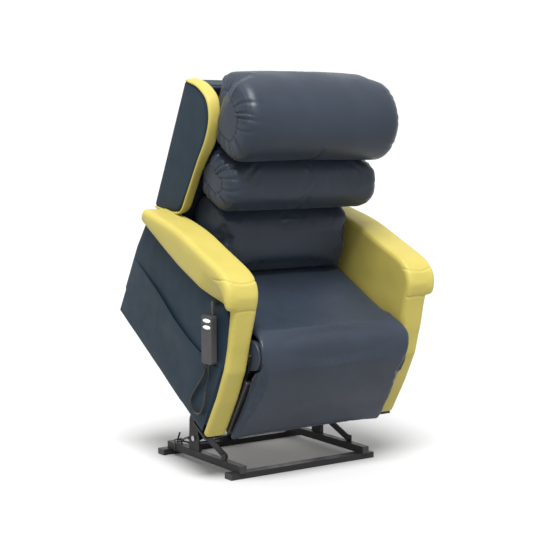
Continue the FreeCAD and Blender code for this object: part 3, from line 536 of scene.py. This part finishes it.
def bright_steel(name, colour, roughness):
    """Zinc-plated steel with fine drawing lines."""
    look = Shader(name, roughness, Metallic=1.0)
    lines = look.noise(260, 3, (1, 1, 0.04))
    look.colour(look.blend(look.spread(lines, 0, 1), colour, toned(colour, 0.72)))
    look.rough(look.spread(look.noise(40, 4), roughness - 0.06, roughness + 0.1))
    look.bump(lines, 0.05, 0.3)
    return look.material


def moulded(name, colour, roughness, texture=0.12):
    """Moulded plastic or rubber with a fine spark-eroded texture."""
    look = Shader(name, roughness)
    look.colour(look.blend(look.spread(look.noise(14, 5), 0, 1), colour, toned(colour, 1.3, 0.003)))
    look.rough(look.spread(look.noise(30, 5), roughness - 0.06, roughness + 0.07))
    look.bump(look.noise(900, 2), texture, 0.5)
    return look.material


def plywood(name):
    """Birch plywood: long grain and plies that show on its edges."""
    look = Shader(name, 0.62)
    grain = look.noise(30, 6, (0.12, 1, 1))
    plies = look.wave(120, "Z", 0.4)
    wood = look.blend(look.spread(grain, 0, 1), linear(196, 164, 120), linear(160, 124, 82))
    look.colour(look.blend(look.spread(plies, 0, 0.35), wood, linear(120, 88, 56)))
    look.bump(grain, 0.2, 0.4)
    return look.material


NAVY = linear(38, 46, 57)
NAVY_SHADE = linear(33, 40, 50)
PANEL = linear(26, 41, 52)
PANEL_SHADE = linear(22, 36, 46)
YELLOW = linear(165, 153, 78)
YELLOW_SHADE = linear(156, 144, 71)

MATERIALS = {
    "steel_black": coated_steel("powder_coat_black", linear(12, 12, 13), linear(48, 48, 50)),
    "steel_zinc": bright_steel("zinc_plate", linear(190, 190, 192), 0.34),
    "plastic_black": moulded("black_plastic", linear(26, 26, 28), 0.48),
    "board": plywood("birch_ply"),
    "vinyl_blue": vinyl("vinyl_slate_panel", PANEL, PANEL_SHADE, 0.5, 0.1),
    "cushion_blue": vinyl("vinyl_slate_cushion", NAVY, NAVY_SHADE, 0.37, 0.24),
    "vinyl_yellow": vinyl("vinyl_yellow_panel", YELLOW, YELLOW_SHADE, 0.45, 0.2),
    "pad_yellow": vinyl("vinyl_yellow_arm", YELLOW, YELLOW_SHADE, 0.45, 0.2),
    "handset_grey": moulded("handset_shell", linear(36, 36, 38), 0.5, 0.15),
    "button_grey": moulded("button_cap", linear(206, 207, 208), 0.35, 0.05),
    "wheel_rubber": moulded("wheel_rubber", linear(38, 38, 38), 0.7, 0.2),
    "cord_black": moulded("cord_jacket", linear(24, 24, 25), 0.45, 0.05),
}
FLOOR_GREY = (*linear(176, 176, 176), 1)
FLOOR_LOOK = Shader("studio_floor", 0.9, Base_Color=FLOOR_GREY, Specular_IOR_Level=0.1).material


def dress(item, slot):
    """Give a piece the material of that slot."""
    item.data.materials.clear()
    item.data.materials.append(MATERIALS[slot])


def dress_frame():
    """Every CAD node gets the material of its slot in the record."""
    for part in frame["record"]["subparts"]:
        node = frame["nodes"][part["node"]]
        node.data.materials.clear()
        node.data.materials.append(MATERIALS[part["material_slot"]])


# Firm upholstered pieces

FACE_REACH = 30


def panel(name, outline, low, high, voxel, end_round, rise=0, corners=1):
    """An upholstered board with rounded edges, whose two faces swell by the rise."""
    outline = rounded(outline, corners)
    item = prism(name, outline, low, high)
    remesh(item, voxel)
    round_ends(item, outline, low, high, end_round)
    relax(item, 3)
    crown(item, outline, low, high, rise, FACE_REACH)
    return item


def finish_firm(item, slot, body, *nodes):
    """Shade and dress a firm piece, hide the CAD nodes that it stands for, and attach it to its body."""
    smooth_shading(item)
    dress(item, slot)
    if nodes:
        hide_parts(*nodes)
    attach(item, body)


def both_sides(item, slot, body, *nodes):
    """Finish a left piece, add its twin, hide the CAD nodes that they stand for and attach both to the body."""
    smooth_shading(item)
    dress(item, slot)
    for piece, side in ((item, "left"), (mirror(item, item.name.replace("left", "right")), "right")):
        if nodes:
            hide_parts(*[node.replace("left", side) for node in nodes])
        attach(piece, body)


# Back cushions

WINGS_START = (528, 572)
HEAD_OUTLINE = [
    (425, 758), (374, 804), (361, 886), (386, 958), (443, 1004), (503, 1023), (573, 1017), (651, 988),
    (688, 940), (663, 914), (645, 768), (500, 750)]
MIDDLE_OUTLINE = [
    (425, 568), (372, 622), (360, 667), (374, 708), (400, 746), (430, 758), (643, 762), (618, 570)]
LOWER_OUTLINE = [
    (364, 352), (362, 370), (366, 441), (402, 522), (424, 566), (616, 568), (590, 348), (500, 344)]
HEAD_HALF = (287, 315)
MIDDLE_HALF = (284, 304)
LOWER_HALF = (262, 262)
SOFT_VOXEL = 6
SEAM_DEPTH = 3.0
SEAM_WIDTH = 3.4
GATHER_REACH = (45, 105)
GATHER_LEAN = 0.0025
GATHER_WIDTH = 2.6


def half_width(depth, half, front_half):
    """Half of a back cushion's width, which is larger in front of the wings."""
    return np.interp(depth, WINGS_START, (front_half, half))


def cushion(name, outline, widths, end_round, shrink):
    """A stuffed block, wider in front of the wings, ready to be simulated."""
    outline = rounded(outline, 2)
    front_half = widths[1]
    item = prism(name + "_cover", outline, -front_half, front_half)
    remesh(item, SOFT_VOXEL)
    round_ends(item, outline, -front_half, front_half, end_round)
    relax(item, 6)
    push(item, -shrink)
    points = to_chair(coordinates(item))
    points[:, 0] *= half_width(points[:, 1], *widths) / front_half
    set_coordinates(item, to_row(points))
    return item


def gathers(item, outline, widths, seam_in, count, depth, seed):
    """Sew an end panel in at each end, seam_in from its edge, and gather the main panel onto it."""
    points = to_chair(coordinates(item))
    inside, _ = from_edge(points[:, 1:], outline)
    centre = points[:, 1:].mean(axis=0)
    around = np.arctan2(points[:, 2] - centre[1], points[:, 1] - centre[0])
    radius = np.linalg.norm(points[:, 1:] - centre, axis=1)
    half = half_width(points[:, 1], *widths)
    random = np.random.default_rng(seed)
    moved = np.zeros(len(points))
    for side in (-1, 1):
        inwards = half - side * points[:, 0] - inside + seam_in
        moved -= SEAM_DEPTH * np.exp(-(inwards / SEAM_WIDTH) ** 2)
        slots = np.linspace(-math.pi, math.pi, count, endpoint=False)
        for slot in slots + random.uniform(-0.4, 0.4, count) * 2 * math.pi / count:
            reach = random.uniform(*GATHER_REACH)
            strength = depth * random.uniform(0.35, 1.0)
            lean = random.uniform(-GATHER_LEAN, GATHER_LEAN)
            off = np.angle(np.exp(1j * (around - slot - lean * inwards))) * radius
            fade = np.where(inwards > 0, np.exp(-(inwards / reach) ** 2), np.exp(inwards / 7))
            width = GATHER_WIDTH + np.clip(inwards, 0, 80) * 0.05
            ridges = 0.55 * np.exp(-((np.abs(off) - 2.2 * width) / (1.5 * width)) ** 2)
            moved += strength * fade * (ridges - np.exp(-(off / width) ** 2))
    push(item, moved)


def finish_soft(item, uneven=0.8, wavelength=0.12):
    push(item, uneven * waves(coordinates(item), wavelength, SEED))
    smooth_shading(item)
    dress(item, "cushion_blue")


def start_back_cushions():
    return {
        "head": cushion("head_cushion", HEAD_OUTLINE, HEAD_HALF, end_round=56, shrink=7),
        "middle": cushion("middle_cushion", MIDDLE_OUTLINE, MIDDLE_HALF, end_round=46, shrink=5),
        "lower": cushion("lower_cushion", LOWER_OUTLINE, LOWER_HALF, end_round=22, shrink=5),
    }


def finish_back_cushions(cushions):
    for name, outline, widths, seam_in, count, depth in (
            ("head", HEAD_OUTLINE, HEAD_HALF, 70, 17, 5.5),
            ("middle", MIDDLE_OUTLINE, MIDDLE_HALF, 62, 15, 5.0)):
        item = cushions[name]
        subdivide(item)
        gathers(item, outline, widths, seam_in, count, depth, SEED + count)
        finish_soft(item)
    subdivide(cushions["lower"])
    finish_soft(cushions["lower"])
    for name, item in cushions.items():
        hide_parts(f"{name}_cushion")
        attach(item, "back")


# Seat and legrest, under one cover

SEAT_HALF = 297
LEGREST_HALF = 306
COVER_HALF = LEGREST_HALF - 4
COVER_REAR_HALF = 281
COVER_FLOOR = 248
COVER_OUTLINE = [
    (530, 330), (440, 344), (356, 349), (247, 358), (132, 368), (60, 382), (20, 388), (-15, 380),
    (-40, 357), (-54, 322), (-60, 244), (-60, 167), (-50, 60), (-43, 20), (-40, -2), (-15, -2), (-15, 150),
    (-15, 262), (-38, 300), (-28, 345), (5, 367), (35, 366), (90, 352), (140, 340), (215, 325),
    (238, 318), (242, 249), (530, 249)]
FOAM_OUTLINE = [
    (236, 248), (40, 249), (-20, 275), (-33, 310), (-18, 345), (20, 360), (50, 350), (75, 325),
    (100, 308), (236, 306)]
FOAM_ENDS = (-298.5, 276)
KNEE_OUTSIDE = [
    (530, 345), (247, 358), (60, 382), (-15, 381), (-54, 322), (-61, 244), (-60, 167), (530, 167)]
KNEE_SKIN = 5


def start_seat():
    outline = rounded(COVER_OUTLINE, 2)
    item = prism("seat_and_legrest_cover", outline, -COVER_HALF, COVER_HALF)
    remesh(item, SOFT_VOXEL)
    round_ends(item, outline, -COVER_HALF, COVER_HALF, 12)
    relax(item, 4)
    points = to_chair(coordinates(item))
    halves = (COVER_HALF, SEAT_HALF, SEAT_HALF - 2, COVER_REAR_HALF)
    half = np.interp(points[:, 1], (-15, 60, 430, 480), halves)
    points[:, 0] *= half / COVER_HALF * np.interp(points[:, 2], (20, 240), (1.028, 1.0))
    set_coordinates(item, to_row(points))
    push(item, -3)
    return item


def thin_over_actuator(item):
    """Leave only the cover's skin at the knee's left end, where the legrest's rod swings up beneath it."""
    points = to_chair(coordinates(item))
    depth, inward = from_edge(points[:, 1:], rounded(KNEE_OUTSIDE, 2))
    near = np.clip((points[:, 0] - 272) / 8, 0, 1) * np.clip((points[:, 2] - 225) / 15, 0, 1)
    near *= np.clip((120 - points[:, 1]) / 30, 0, 1)
    points[:, 1:] -= inward * (np.clip(depth - KNEE_SKIN, 0, 24) * near)[:, None]
    set_coordinates(item, to_row(points))


def finish_seat(item):
    points = to_chair(coordinates(item))
    limit = np.interp(points[:, 2], (20, 240), (LEGREST_HALF + 9, LEGREST_HALF + 2))
    points[:, 0] = np.clip(points[:, 0], -limit, limit)
    points[:, 2] = np.where(points[:, 1] > 60, np.maximum(points[:, 2], COVER_FLOOR), points[:, 2])
    set_coordinates(item, to_row(points))
    subdivide(item)
    thin_over_actuator(item)
    finish_soft(item, uneven=1.0, wavelength=0.16)
    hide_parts("seat_cushion", "legrest_pad")
    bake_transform(item)

    foam = prism("seat_front_foam", rounded(FOAM_OUTLINE, 1), *FOAM_ENDS)
    edges = foam.modifiers.new("edges", "BEVEL")
    edges.width = 3 * MM
    edges.segments = 3
    apply_modifiers(foam)
    smooth_shading(foam)
    dress(foam, "cushion_blue")
    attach(foam, "chair")
    black_covers()


BOARD_OUTLINE = [(-16, 10), (3, 10), (3, 224), (-16, 224)]
DUST_OUTLINE = [(28, 150), (32, 150), (32, 250), (28, 250)]


def black_covers():
    """The legrest board's wrapped back, and a board that closes the seat's underside in front."""
    board = panel("legrest_back_cover", BOARD_OUTLINE, -306, 306, 5, 5, corners=0)
    finish_firm(board, "plastic_black", "legrest", "legrest_board")
    dust = panel("seat_dust_board", DUST_OUTLINE, -272, 272, 2, 1.5, corners=0)
    finish_firm(dust, "plastic_black", "chair")


# Arms

ARM_TOP = [
    (640, 397), (657, 398), (661, 440), (646, 446), (573, 469), (499, 493), (411, 515), (290, 530),
    (200, 544), (140, 549), (98, 535), (70, 504), (58, 462), (82, 453), (178, 431), (276, 417), (413, 400)]
ARM_FRONT = [
    (140, 545), (98, 535), (70, 504), (58, 455), (22, 350), (-3, 262), (-13, 150), (-14, 4), (10, 4),
    (11, 150), (22, 262), (47, 345), (90, 450), (178, 440)]
ARM_SIDE = [
    (642, 10), (660, 441), (573, 469), (499, 493), (411, 515), (290, 530), (200, 544), (140, 549),
    (98, 535), (70, 504), (58, 455), (32, 350), (26, 262), (26, 4)]
ARM_INSIDE = 300
ARM_OUTSIDE = 421
ARM_BOARD_OUTSIDE = 387
FIRM_VOXEL = 5
TAPER = 0.85
SEAM_TOP = [
    (421, 178, 505), (421, 146, 522), (412, 122, 538), (390, 108, 537), (360, 102, 536), (330, 104, 536),
    (306, 112, 538), (300, 126, 530)]
SEAM_BOTTOM = [
    (414, 96, 446), (400, 66, 452), (384, 60, 458), (360, 58, 462), (330, 58, 462), (306, 64, 458)]


def tapered(top):
    """Draw the arm top's overhang in towards the arm, low down and near the front."""
    points = to_chair(coordinates(top))
    surface = np.interp(points[:, 1], (60, 98, 140, 290, 411, 573, 652),
                        (500, 535, 549, 530, 515, 469, 444))
    below = np.clip((surface - points[:, 2] - 38) / 62, 0, 1)
    front = np.clip((260 - points[:, 1]) / 130, 0.18, 1)
    past = np.clip(points[:, 0] - (ARM_BOARD_OUTSIDE - 3), 0, None)
    points[:, 0] -= past * TAPER * front * below
    set_coordinates(top, to_row(points))


def arms():
    """The arms' yellow covers: padded top, front and inner face, sewn as one."""
    layers = []
    for name, outline, low, high, radius in (
            ("top", rounded(ARM_TOP, 1), ARM_INSIDE, ARM_OUTSIDE, 19),
            ("front", ARM_FRONT, 309, ARM_BOARD_OUTSIDE, 9),
            ("side", rounded(ARM_SIDE, 1), ARM_INSIDE, 326, 13)):
        layer = prism("arm_" + name, outline, low, high)
        remesh(layer, FIRM_VOXEL)
        round_ends(layer, outline, low, high, radius)
        layers.append(layer)
    tapered(layers[0])
    arm = merged("arm_cover_left", layers)
    remesh(arm, FIRM_VOXEL)
    relax(arm, 8)
    push(arm, 0.5)
    subdivide(arm)
    groove(arm, SEAM_TOP, width=3.2, depth=2.2)
    groove(arm, SEAM_BOTTOM, width=3.2, depth=2.0)
    push(arm, 0.6 * waves(coordinates(arm), 0.1, SEED + 1))
    smooth_shading(arm)
    dress(arm, "pad_yellow")
    for item, side in ((arm, "left"), (mirror(arm, "arm_cover_right"), "right")):
        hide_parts(f"arm_pad_{side}", f"arm_front_panel_{side}", "arm_boards")
        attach(item, "chair")


REAR_OUTLINE = [(645, 14), (664, 14), (673, 366), (654, 366)]


def arm_panels():
    side = section("arm_outer_panel_left", 377)
    outer = panel("arm_panel_left", side, 368, ARM_BOARD_OUTSIDE, FIRM_VOXEL, 7, rise=2.5)
    push(outer, 0.7 * waves(coordinates(outer), 0.14, SEED + 2))
    both_sides(outer, "vinyl_blue", "chair", "arm_outer_panel_left")
    rear = panel("arm_rear_left", REAR_OUTLINE, 306, 369, FIRM_VOXEL, 5, rise=1.0)
    both_sides(rear, "vinyl_blue", "chair", "arm_boards")


POCKET_TOP = [
    (657, 233), (572, 237), (446, 238), (325, 226), (216, 225), (154, 231), (57, 248), (22, 256)]
POCKET_FLAT = 387.8
POCKET_FULLNESS = 4.2
POCKET_SAG = 7.5
POCKET_COLUMNS = 110
POCKET_ROWS = 44


def along(corners, share):
    """A point at that share of the way along a line of corners, by depth order."""
    corners = np.array(corners, float)
    runs = np.concatenate(([0], np.cumsum(np.linalg.norm(np.diff(corners, axis=0), axis=1))))
    at = share * runs[-1]
    return np.array([np.interp(at, runs, corners[:, 0]), np.interp(at, runs, corners[:, 1])])


def pocket_column(share):
    """The pocket's points from bottom to top, at that share of the way from its rear to its front."""
    top = along(POCKET_TOP, share)
    bottom = np.array((655 - 643 * share, 14 - 2 * share))
    sides = 1 - math.exp(-min(share, 1 - share) * 14)
    middle = math.sin(math.pi * share) ** 1.3
    points = []
    for row in range(POCKET_ROWS + 1):
        rise = row / POCKET_ROWS
        depth, height = bottom + (top - bottom) * rise
        full = POCKET_FULLNESS * sides * (1 - math.exp(-rise * 12))
        sag = POCKET_SAG * middle * math.exp(-((1 - rise) / 0.34) ** 2)
        points.append((POCKET_FLAT + full + sag, depth, height))
    return points


def pocket():
    """A sewn-on pocket whose open top sags away from the arm."""
    columns = [pocket_column(column / POCKET_COLUMNS) for column in range(POCKET_COLUMNS + 1)]
    points = sum(columns, [])
    faces = grid_faces(POCKET_COLUMNS + 1, POCKET_ROWS + 1)
    item = mesh_object("pocket_left", to_row(points), faces)
    skin = item.modifiers.new("skin", "SOLIDIFY")
    skin.thickness = 2.2 * MM
    skin.offset = 0
    apply_modifiers(item)
    subdivide(item)
    push(item, 0.5 * waves(coordinates(item), 0.09, SEED + 3))
    both_sides(item, "vinyl_blue", "chair", "arm_pockets")
    rim = [column[-1] for column in columns[::5]]
    both_sides(as_mesh(tube("pocket_hem_left", to_row(rim), 2.1)), "vinyl_blue", "chair")


# Wings and the back's shell

WING_OUTLINE = [
    (762, 877), (759, 850), (722, 430), (718, 410), (696, 419), (640, 444), (595, 465), (564, 496),
    (560, 560), (559, 640), (558, 699), (554, 777), (569, 845), (613, 889), (679, 896), (740, 881)]
WING_INSIDE = 292
WING_OUTSIDE = 333
WING_SLOPE = 15
BAND_PATH = WING_OUTLINE[3:] + [(757, 877)]
BAND_RINGS = 150
RING_POINTS = 28
BAND_MIDDLE = 313.5
BAND_HALF = 21.3
BAND_LIFT = 1.5
BAND_OUTWARDS = 7
BAND_INWARDS = 4


def sloped(points):
    """Set the wing's inner side further back than its outer side, below the head cushion."""
    share = (WING_OUTSIDE + 1 - np.abs(points[:, 0])) / 42
    points[:, 1] += WING_SLOPE * share * np.clip((760 - points[:, 2]) / 120, 0, 1) * (points[:, 1] < 640)
    return points


def wings():
    wing = panel("wing_cover_left", WING_OUTLINE, WING_INSIDE, WING_OUTSIDE, FIRM_VOXEL, 8,
                 rise=2.0, corners=2)
    set_coordinates(wing, to_row(sloped(to_chair(coordinates(wing)))))
    push(wing, 0.6 * waves(coordinates(wing), 0.12, SEED + 4))
    both_sides(wing, "vinyl_blue", "back", "wing_left")


def band_section(fade, top_share):
    """The band's section at one place, as steps across it and outwards; it thins out at the two ends."""
    steps = []
    for number in range(RING_POINTS):
        turn = 2 * math.pi * number / RING_POINTS
        across = math.copysign(abs(math.cos(turn)) ** 0.55, math.cos(turn))
        rise = math.copysign(abs(math.sin(turn)) ** 0.8, math.sin(turn))
        lift = (BAND_LIFT + (BAND_OUTWARDS if rise > 0 else BAND_INWARDS) * rise) * fade
        inner_rise = 8 * (0.5 - 0.5 * across) * top_share * (rise > 0)
        steps.append((BAND_HALF * across * (0.9 + 0.1 * fade), lift + inner_rise))
    return steps


def wing_bands():
    """A padded band around each wing's edge, in the arms' colour."""
    path = smooth_path(BAND_PATH, BAND_RINGS)
    ahead = np.gradient(path, axis=0)
    outward = np.column_stack((-ahead[:, 1], ahead[:, 0])) / np.linalg.norm(ahead, axis=1)[:, None]
    places = np.arange(BAND_RINGS)
    fade = np.clip(np.minimum(places, BAND_RINGS - 1 - places) / 9, 0, 1) ** 0.5
    top_share = np.clip((path[:, 1] - 850) / 40, 0, 1) * fade
    points = []
    for index, (place, out) in enumerate(zip(path, outward)):
        for across, lift in band_section(fade[index], top_share[index]):
            points.append((BAND_MIDDLE + across, *(place + out * lift)))
    faces = ring_faces(BAND_RINGS, RING_POINTS)
    faces += [tuple(range(RING_POINTS - 1, -1, -1)),
              tuple(range((BAND_RINGS - 1) * RING_POINTS, BAND_RINGS * RING_POINTS))]
    band = mesh_object("wing_trim_left", to_row(sloped(np.array(points))), faces)
    both_sides(band, "vinyl_yellow", "back", "wing_band_left")


BACK_HALF = 290
BACK_MIDDLE = (727, 650)
REARWARD = np.array((0.995, -0.1))
BACK_SWELL = 6
TOP_OUTLINE = [(672, 898), (676, 909), (751, 886), (748, 875)]


def back_shell():
    """The outer rear cover, which swells rearwards, the inner one, and the one that closes the top."""
    shell = panel("outer_back_cover", section("outer_back", 0), -BACK_HALF, BACK_HALF, 6, 9)
    points = to_chair(coordinates(shell))
    across = np.clip(1 - (points[:, 0] / BACK_HALF) ** 4, 0, 1)
    upright = np.clip(1 - ((points[:, 2] - BACK_MIDDLE[1]) / 232) ** 4, 0, 1)
    behind = (points[:, 1:] - BACK_MIDDLE) @ REARWARD > 0
    points[:, 1:] += REARWARD * (BACK_SWELL * across * upright * behind)[:, None]
    set_coordinates(shell, to_row(points))
    finish_firm(shell, "vinyl_blue", "back", "outer_back")
    board = panel("inner_back_cover", section("back_board", 0), -BACK_HALF - 1, BACK_HALF + 1, 6, 5)
    finish_firm(board, "cushion_blue", "back", "back_board")
    top = panel("back_top_cover", TOP_OUTLINE, -BACK_HALF - 1, BACK_HALF + 1, 4, 4, corners=0)
    finish_firm(top, "vinyl_blue", "back")


FLAP_HALF = 279
BACK_FLAP = [(526, 254), (546, 266), (564, 292), (576, 326), (587, 357)]
FLAP_COLUMNS = 60


def back_flap():
    """A cloth that closes the gap between the seat deck's rear edge and the foot of the back."""
    line = smooth_path(BACK_FLAP, 28)
    points = []
    for column in range(FLAP_COLUMNS + 1):
        across = FLAP_HALF * (2 * column / FLAP_COLUMNS - 1)
        points += [(across, *place) for place in line]
    flap = mesh_object("back_flap", to_row(points), grid_faces(FLAP_COLUMNS + 1, len(line)))
    skin = flap.modifiers.new("skin", "SOLIDIFY")
    skin.thickness = 1.6 * MM
    apply_modifiers(flap)
    push(flap, 1.0 * waves(coordinates(flap), 0.08, SEED + 5))
    smooth_shading(flap)
    dress(flap, "vinyl_blue")
    start, end = to_row([(0, *line[6]), (0, *line[-1])])
    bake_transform(flap)


# The handset

BUTTON_HEIGHTS = {"upper": 541, "lower": 520}
BUTTON_DEPTH = -50
BUTTON_FOOT = -417.6
DOME = 4.6
OVAL = (22.5, 6.8)
DOME_RINGS = 8
DOME_SPOKES = 40


def buttons():
    """Domed oval rockers on the handset's face."""
    for level, height in BUTTON_HEIGHTS.items():
        points = []
        for ring in range(DOME_RINGS + 1):
            slope = ring / DOME_RINGS * math.pi / 2
            for spoke in range(DOME_SPOKES):
                turn = 2 * math.pi * spoke / DOME_SPOKES
                points.append(from_base(BUTTON_FOOT - DOME * math.cos(slope),
                                        BUTTON_DEPTH + OVAL[0] * math.sin(slope) * math.cos(turn),
                                        height + OVAL[1] * math.sin(slope) * math.sin(turn)))
        faces = [face[::-1] for face in ring_faces(DOME_RINGS + 1, DOME_SPOKES)]
        faces.append(tuple(range(DOME_RINGS * DOME_SPOKES, (DOME_RINGS + 1) * DOME_SPOKES)))
        button = mesh_object(f"button_{level}_cap", np.array(points), faces)
        finish_firm(button, "button_grey", f"button_{level}", f"handset_button_{level}")


CORD_ROUTE = [(-407, -27, 395), (-406.5, -24, 378), (-404.5, -6, 355), (-400.5, 30, 324), (-400, 66, 288),
              (-400, 84, 256), (-400, 62, 228), (-400, 22, 227), (-400, 0, 254), (-400, -9, 290),
              (-400, -14, 322), (-399, -20, 338), (-397.6, -28, 358), (-397.2, -29, 378),
              (-397.2, -30, 399), (-397.2, -30, 420)]
WIRE_DIAMETER = 3.2
CURL_RADIUS = 3.4
CURL_PITCH = 4.6
CURL_START = 6
CURL_END = 345.0
POINTS_A_TURN = 14


def route_line(route):
    """The smooth line of a route, as points read from its NURBS spline."""
    guide = tube("route_guide", [from_base(*point) for point in route], 0)
    guide.data.resolution_u = 24
    depsgraph = bpy.context.evaluated_depsgraph_get()
    mesh = bpy.data.meshes.new_from_object(guide.evaluated_get(depsgraph))
    points = np.array([vert.co for vert in mesh.vertices])
    bpy.data.objects.remove(guide)
    return points


def handset_cord():
    """A curly cord that leaves the handset's foot, and ends as a straight lead going up behind it."""
    line = route_line(CORD_ROUTE)
    runs = np.concatenate(([0], np.cumsum(np.linalg.norm(np.diff(line, axis=0), axis=1)))) / MM
    step = CURL_PITCH / POINTS_A_TURN
    places = np.arange(0, runs[-1], step)
    centre = np.column_stack([np.interp(places, runs, line[:, axis]) for axis in range(3)])
    ahead = np.gradient(centre, axis=0)
    ahead /= np.linalg.norm(ahead, axis=1)[:, None]
    across = np.tile((1.0, 0.0, 0.0), (len(places), 1))
    across -= ahead * np.sum(across * ahead, axis=1)[:, None]
    across /= np.linalg.norm(across, axis=1)[:, None]
    third = np.cross(ahead, across)
    ramps = (CURL_START, CURL_START + 10, CURL_END - 12, CURL_END)
    radius = CURL_RADIUS * np.interp(places, ramps, (0, 1, 1, 0)) * MM
    turn = 2 * math.pi * places / CURL_PITCH
    curled = centre + radius[:, None] * (across * np.cos(turn)[:, None] + third * np.sin(turn)[:, None])
    straight = places > CURL_END
    kept = np.where(~straight | (np.arange(len(places)) % POINTS_A_TURN == 0))[0]
    points = np.vstack((curled[kept], line[-1]))
    cord = tube("handset_cord", points, WIRE_DIAMETER / 2)
    cord.data.resolution_u = 2
    cord.data.bevel_resolution = 2
    dress(cord, "cord_black")
    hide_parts("handset_curly_cord", "handset_lead")
    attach(cord, "chair")


# Studio

FLOOR_HALF = 30
CAMERA_PLACE = (-2.742, -4.006, 1.150)
VIEW_DIRECTION = (0.5633, 0.8196, -0.1045)
LENS = 92.95


def lamp(name, kind, place, target, power):
    """A light of that kind that shines from place to target."""
    light = bpy.data.lights.new(name, kind)
    light.energy = power
    item = bpy.data.objects.new(name, light)
    item.location = place
    item.rotation_mode = "QUATERNION"
    item.rotation_quaternion = (Vector(target) - Vector(place)).to_track_quat("-Z", "Y")
    bpy.context.scene.collection.objects.link(item)
    return light


def studio():
    corners = [(-FLOOR_HALF, -FLOOR_HALF, 0), (FLOOR_HALF, -FLOOR_HALF, 0),
               (FLOOR_HALF, FLOOR_HALF, 0), (-FLOOR_HALF, FLOOR_HALF, 0)]
    floor = mesh_object("floor", corners, [(0, 1, 2, 3)])
    floor.data.materials.append(FLOOR_LOOK)
    world = bpy.data.worlds.new("studio")
    world.use_nodes = True
    background = world.node_tree.nodes["Background"]
    background.inputs["Color"].default_value = (1, 1, 1, 1)
    background.inputs["Strength"].default_value = 1.05
    bpy.context.scene.world = world
    middle = (0, 0, 0.7)
    key = lamp("key", "SUN", (-1.0, -1.7, 4.2), middle, 5.6)
    key.angle = math.radians(26)
    top = lamp("top", "AREA", (-0.6, 0.1, 3.6), middle, 14)
    top.size = 2.4
    camera = bpy.data.cameras.new("camera")
    camera.sensor_width = 36
    camera.lens = LENS
    item = bpy.data.objects.new("camera", camera)
    item.location = CAMERA_PLACE
    item.rotation_mode = "QUATERNION"
    item.rotation_quaternion = Vector(VIEW_DIRECTION).to_track_quat("-Z", "Y")
    bpy.context.scene.collection.objects.link(item)
    bpy.context.scene.camera = item
    bpy.context.scene.view_settings.view_transform = "Standard"


studio()
handset_cord()
dress_frame()
back_cushions = start_back_cushions()
seat = start_seat()
simulate([
    (back_cushions["head"], 4, 15),
    (back_cushions["middle"], 4, 12),
    (back_cushions["lower"], 3, 9),
    (seat, 3, 8),
])
finish_back_cushions(back_cushions)
finish_seat(seat)
arms()
arm_panels()
pocket()
wings()
wing_bands()
back_shell()
back_flap()
buttons()
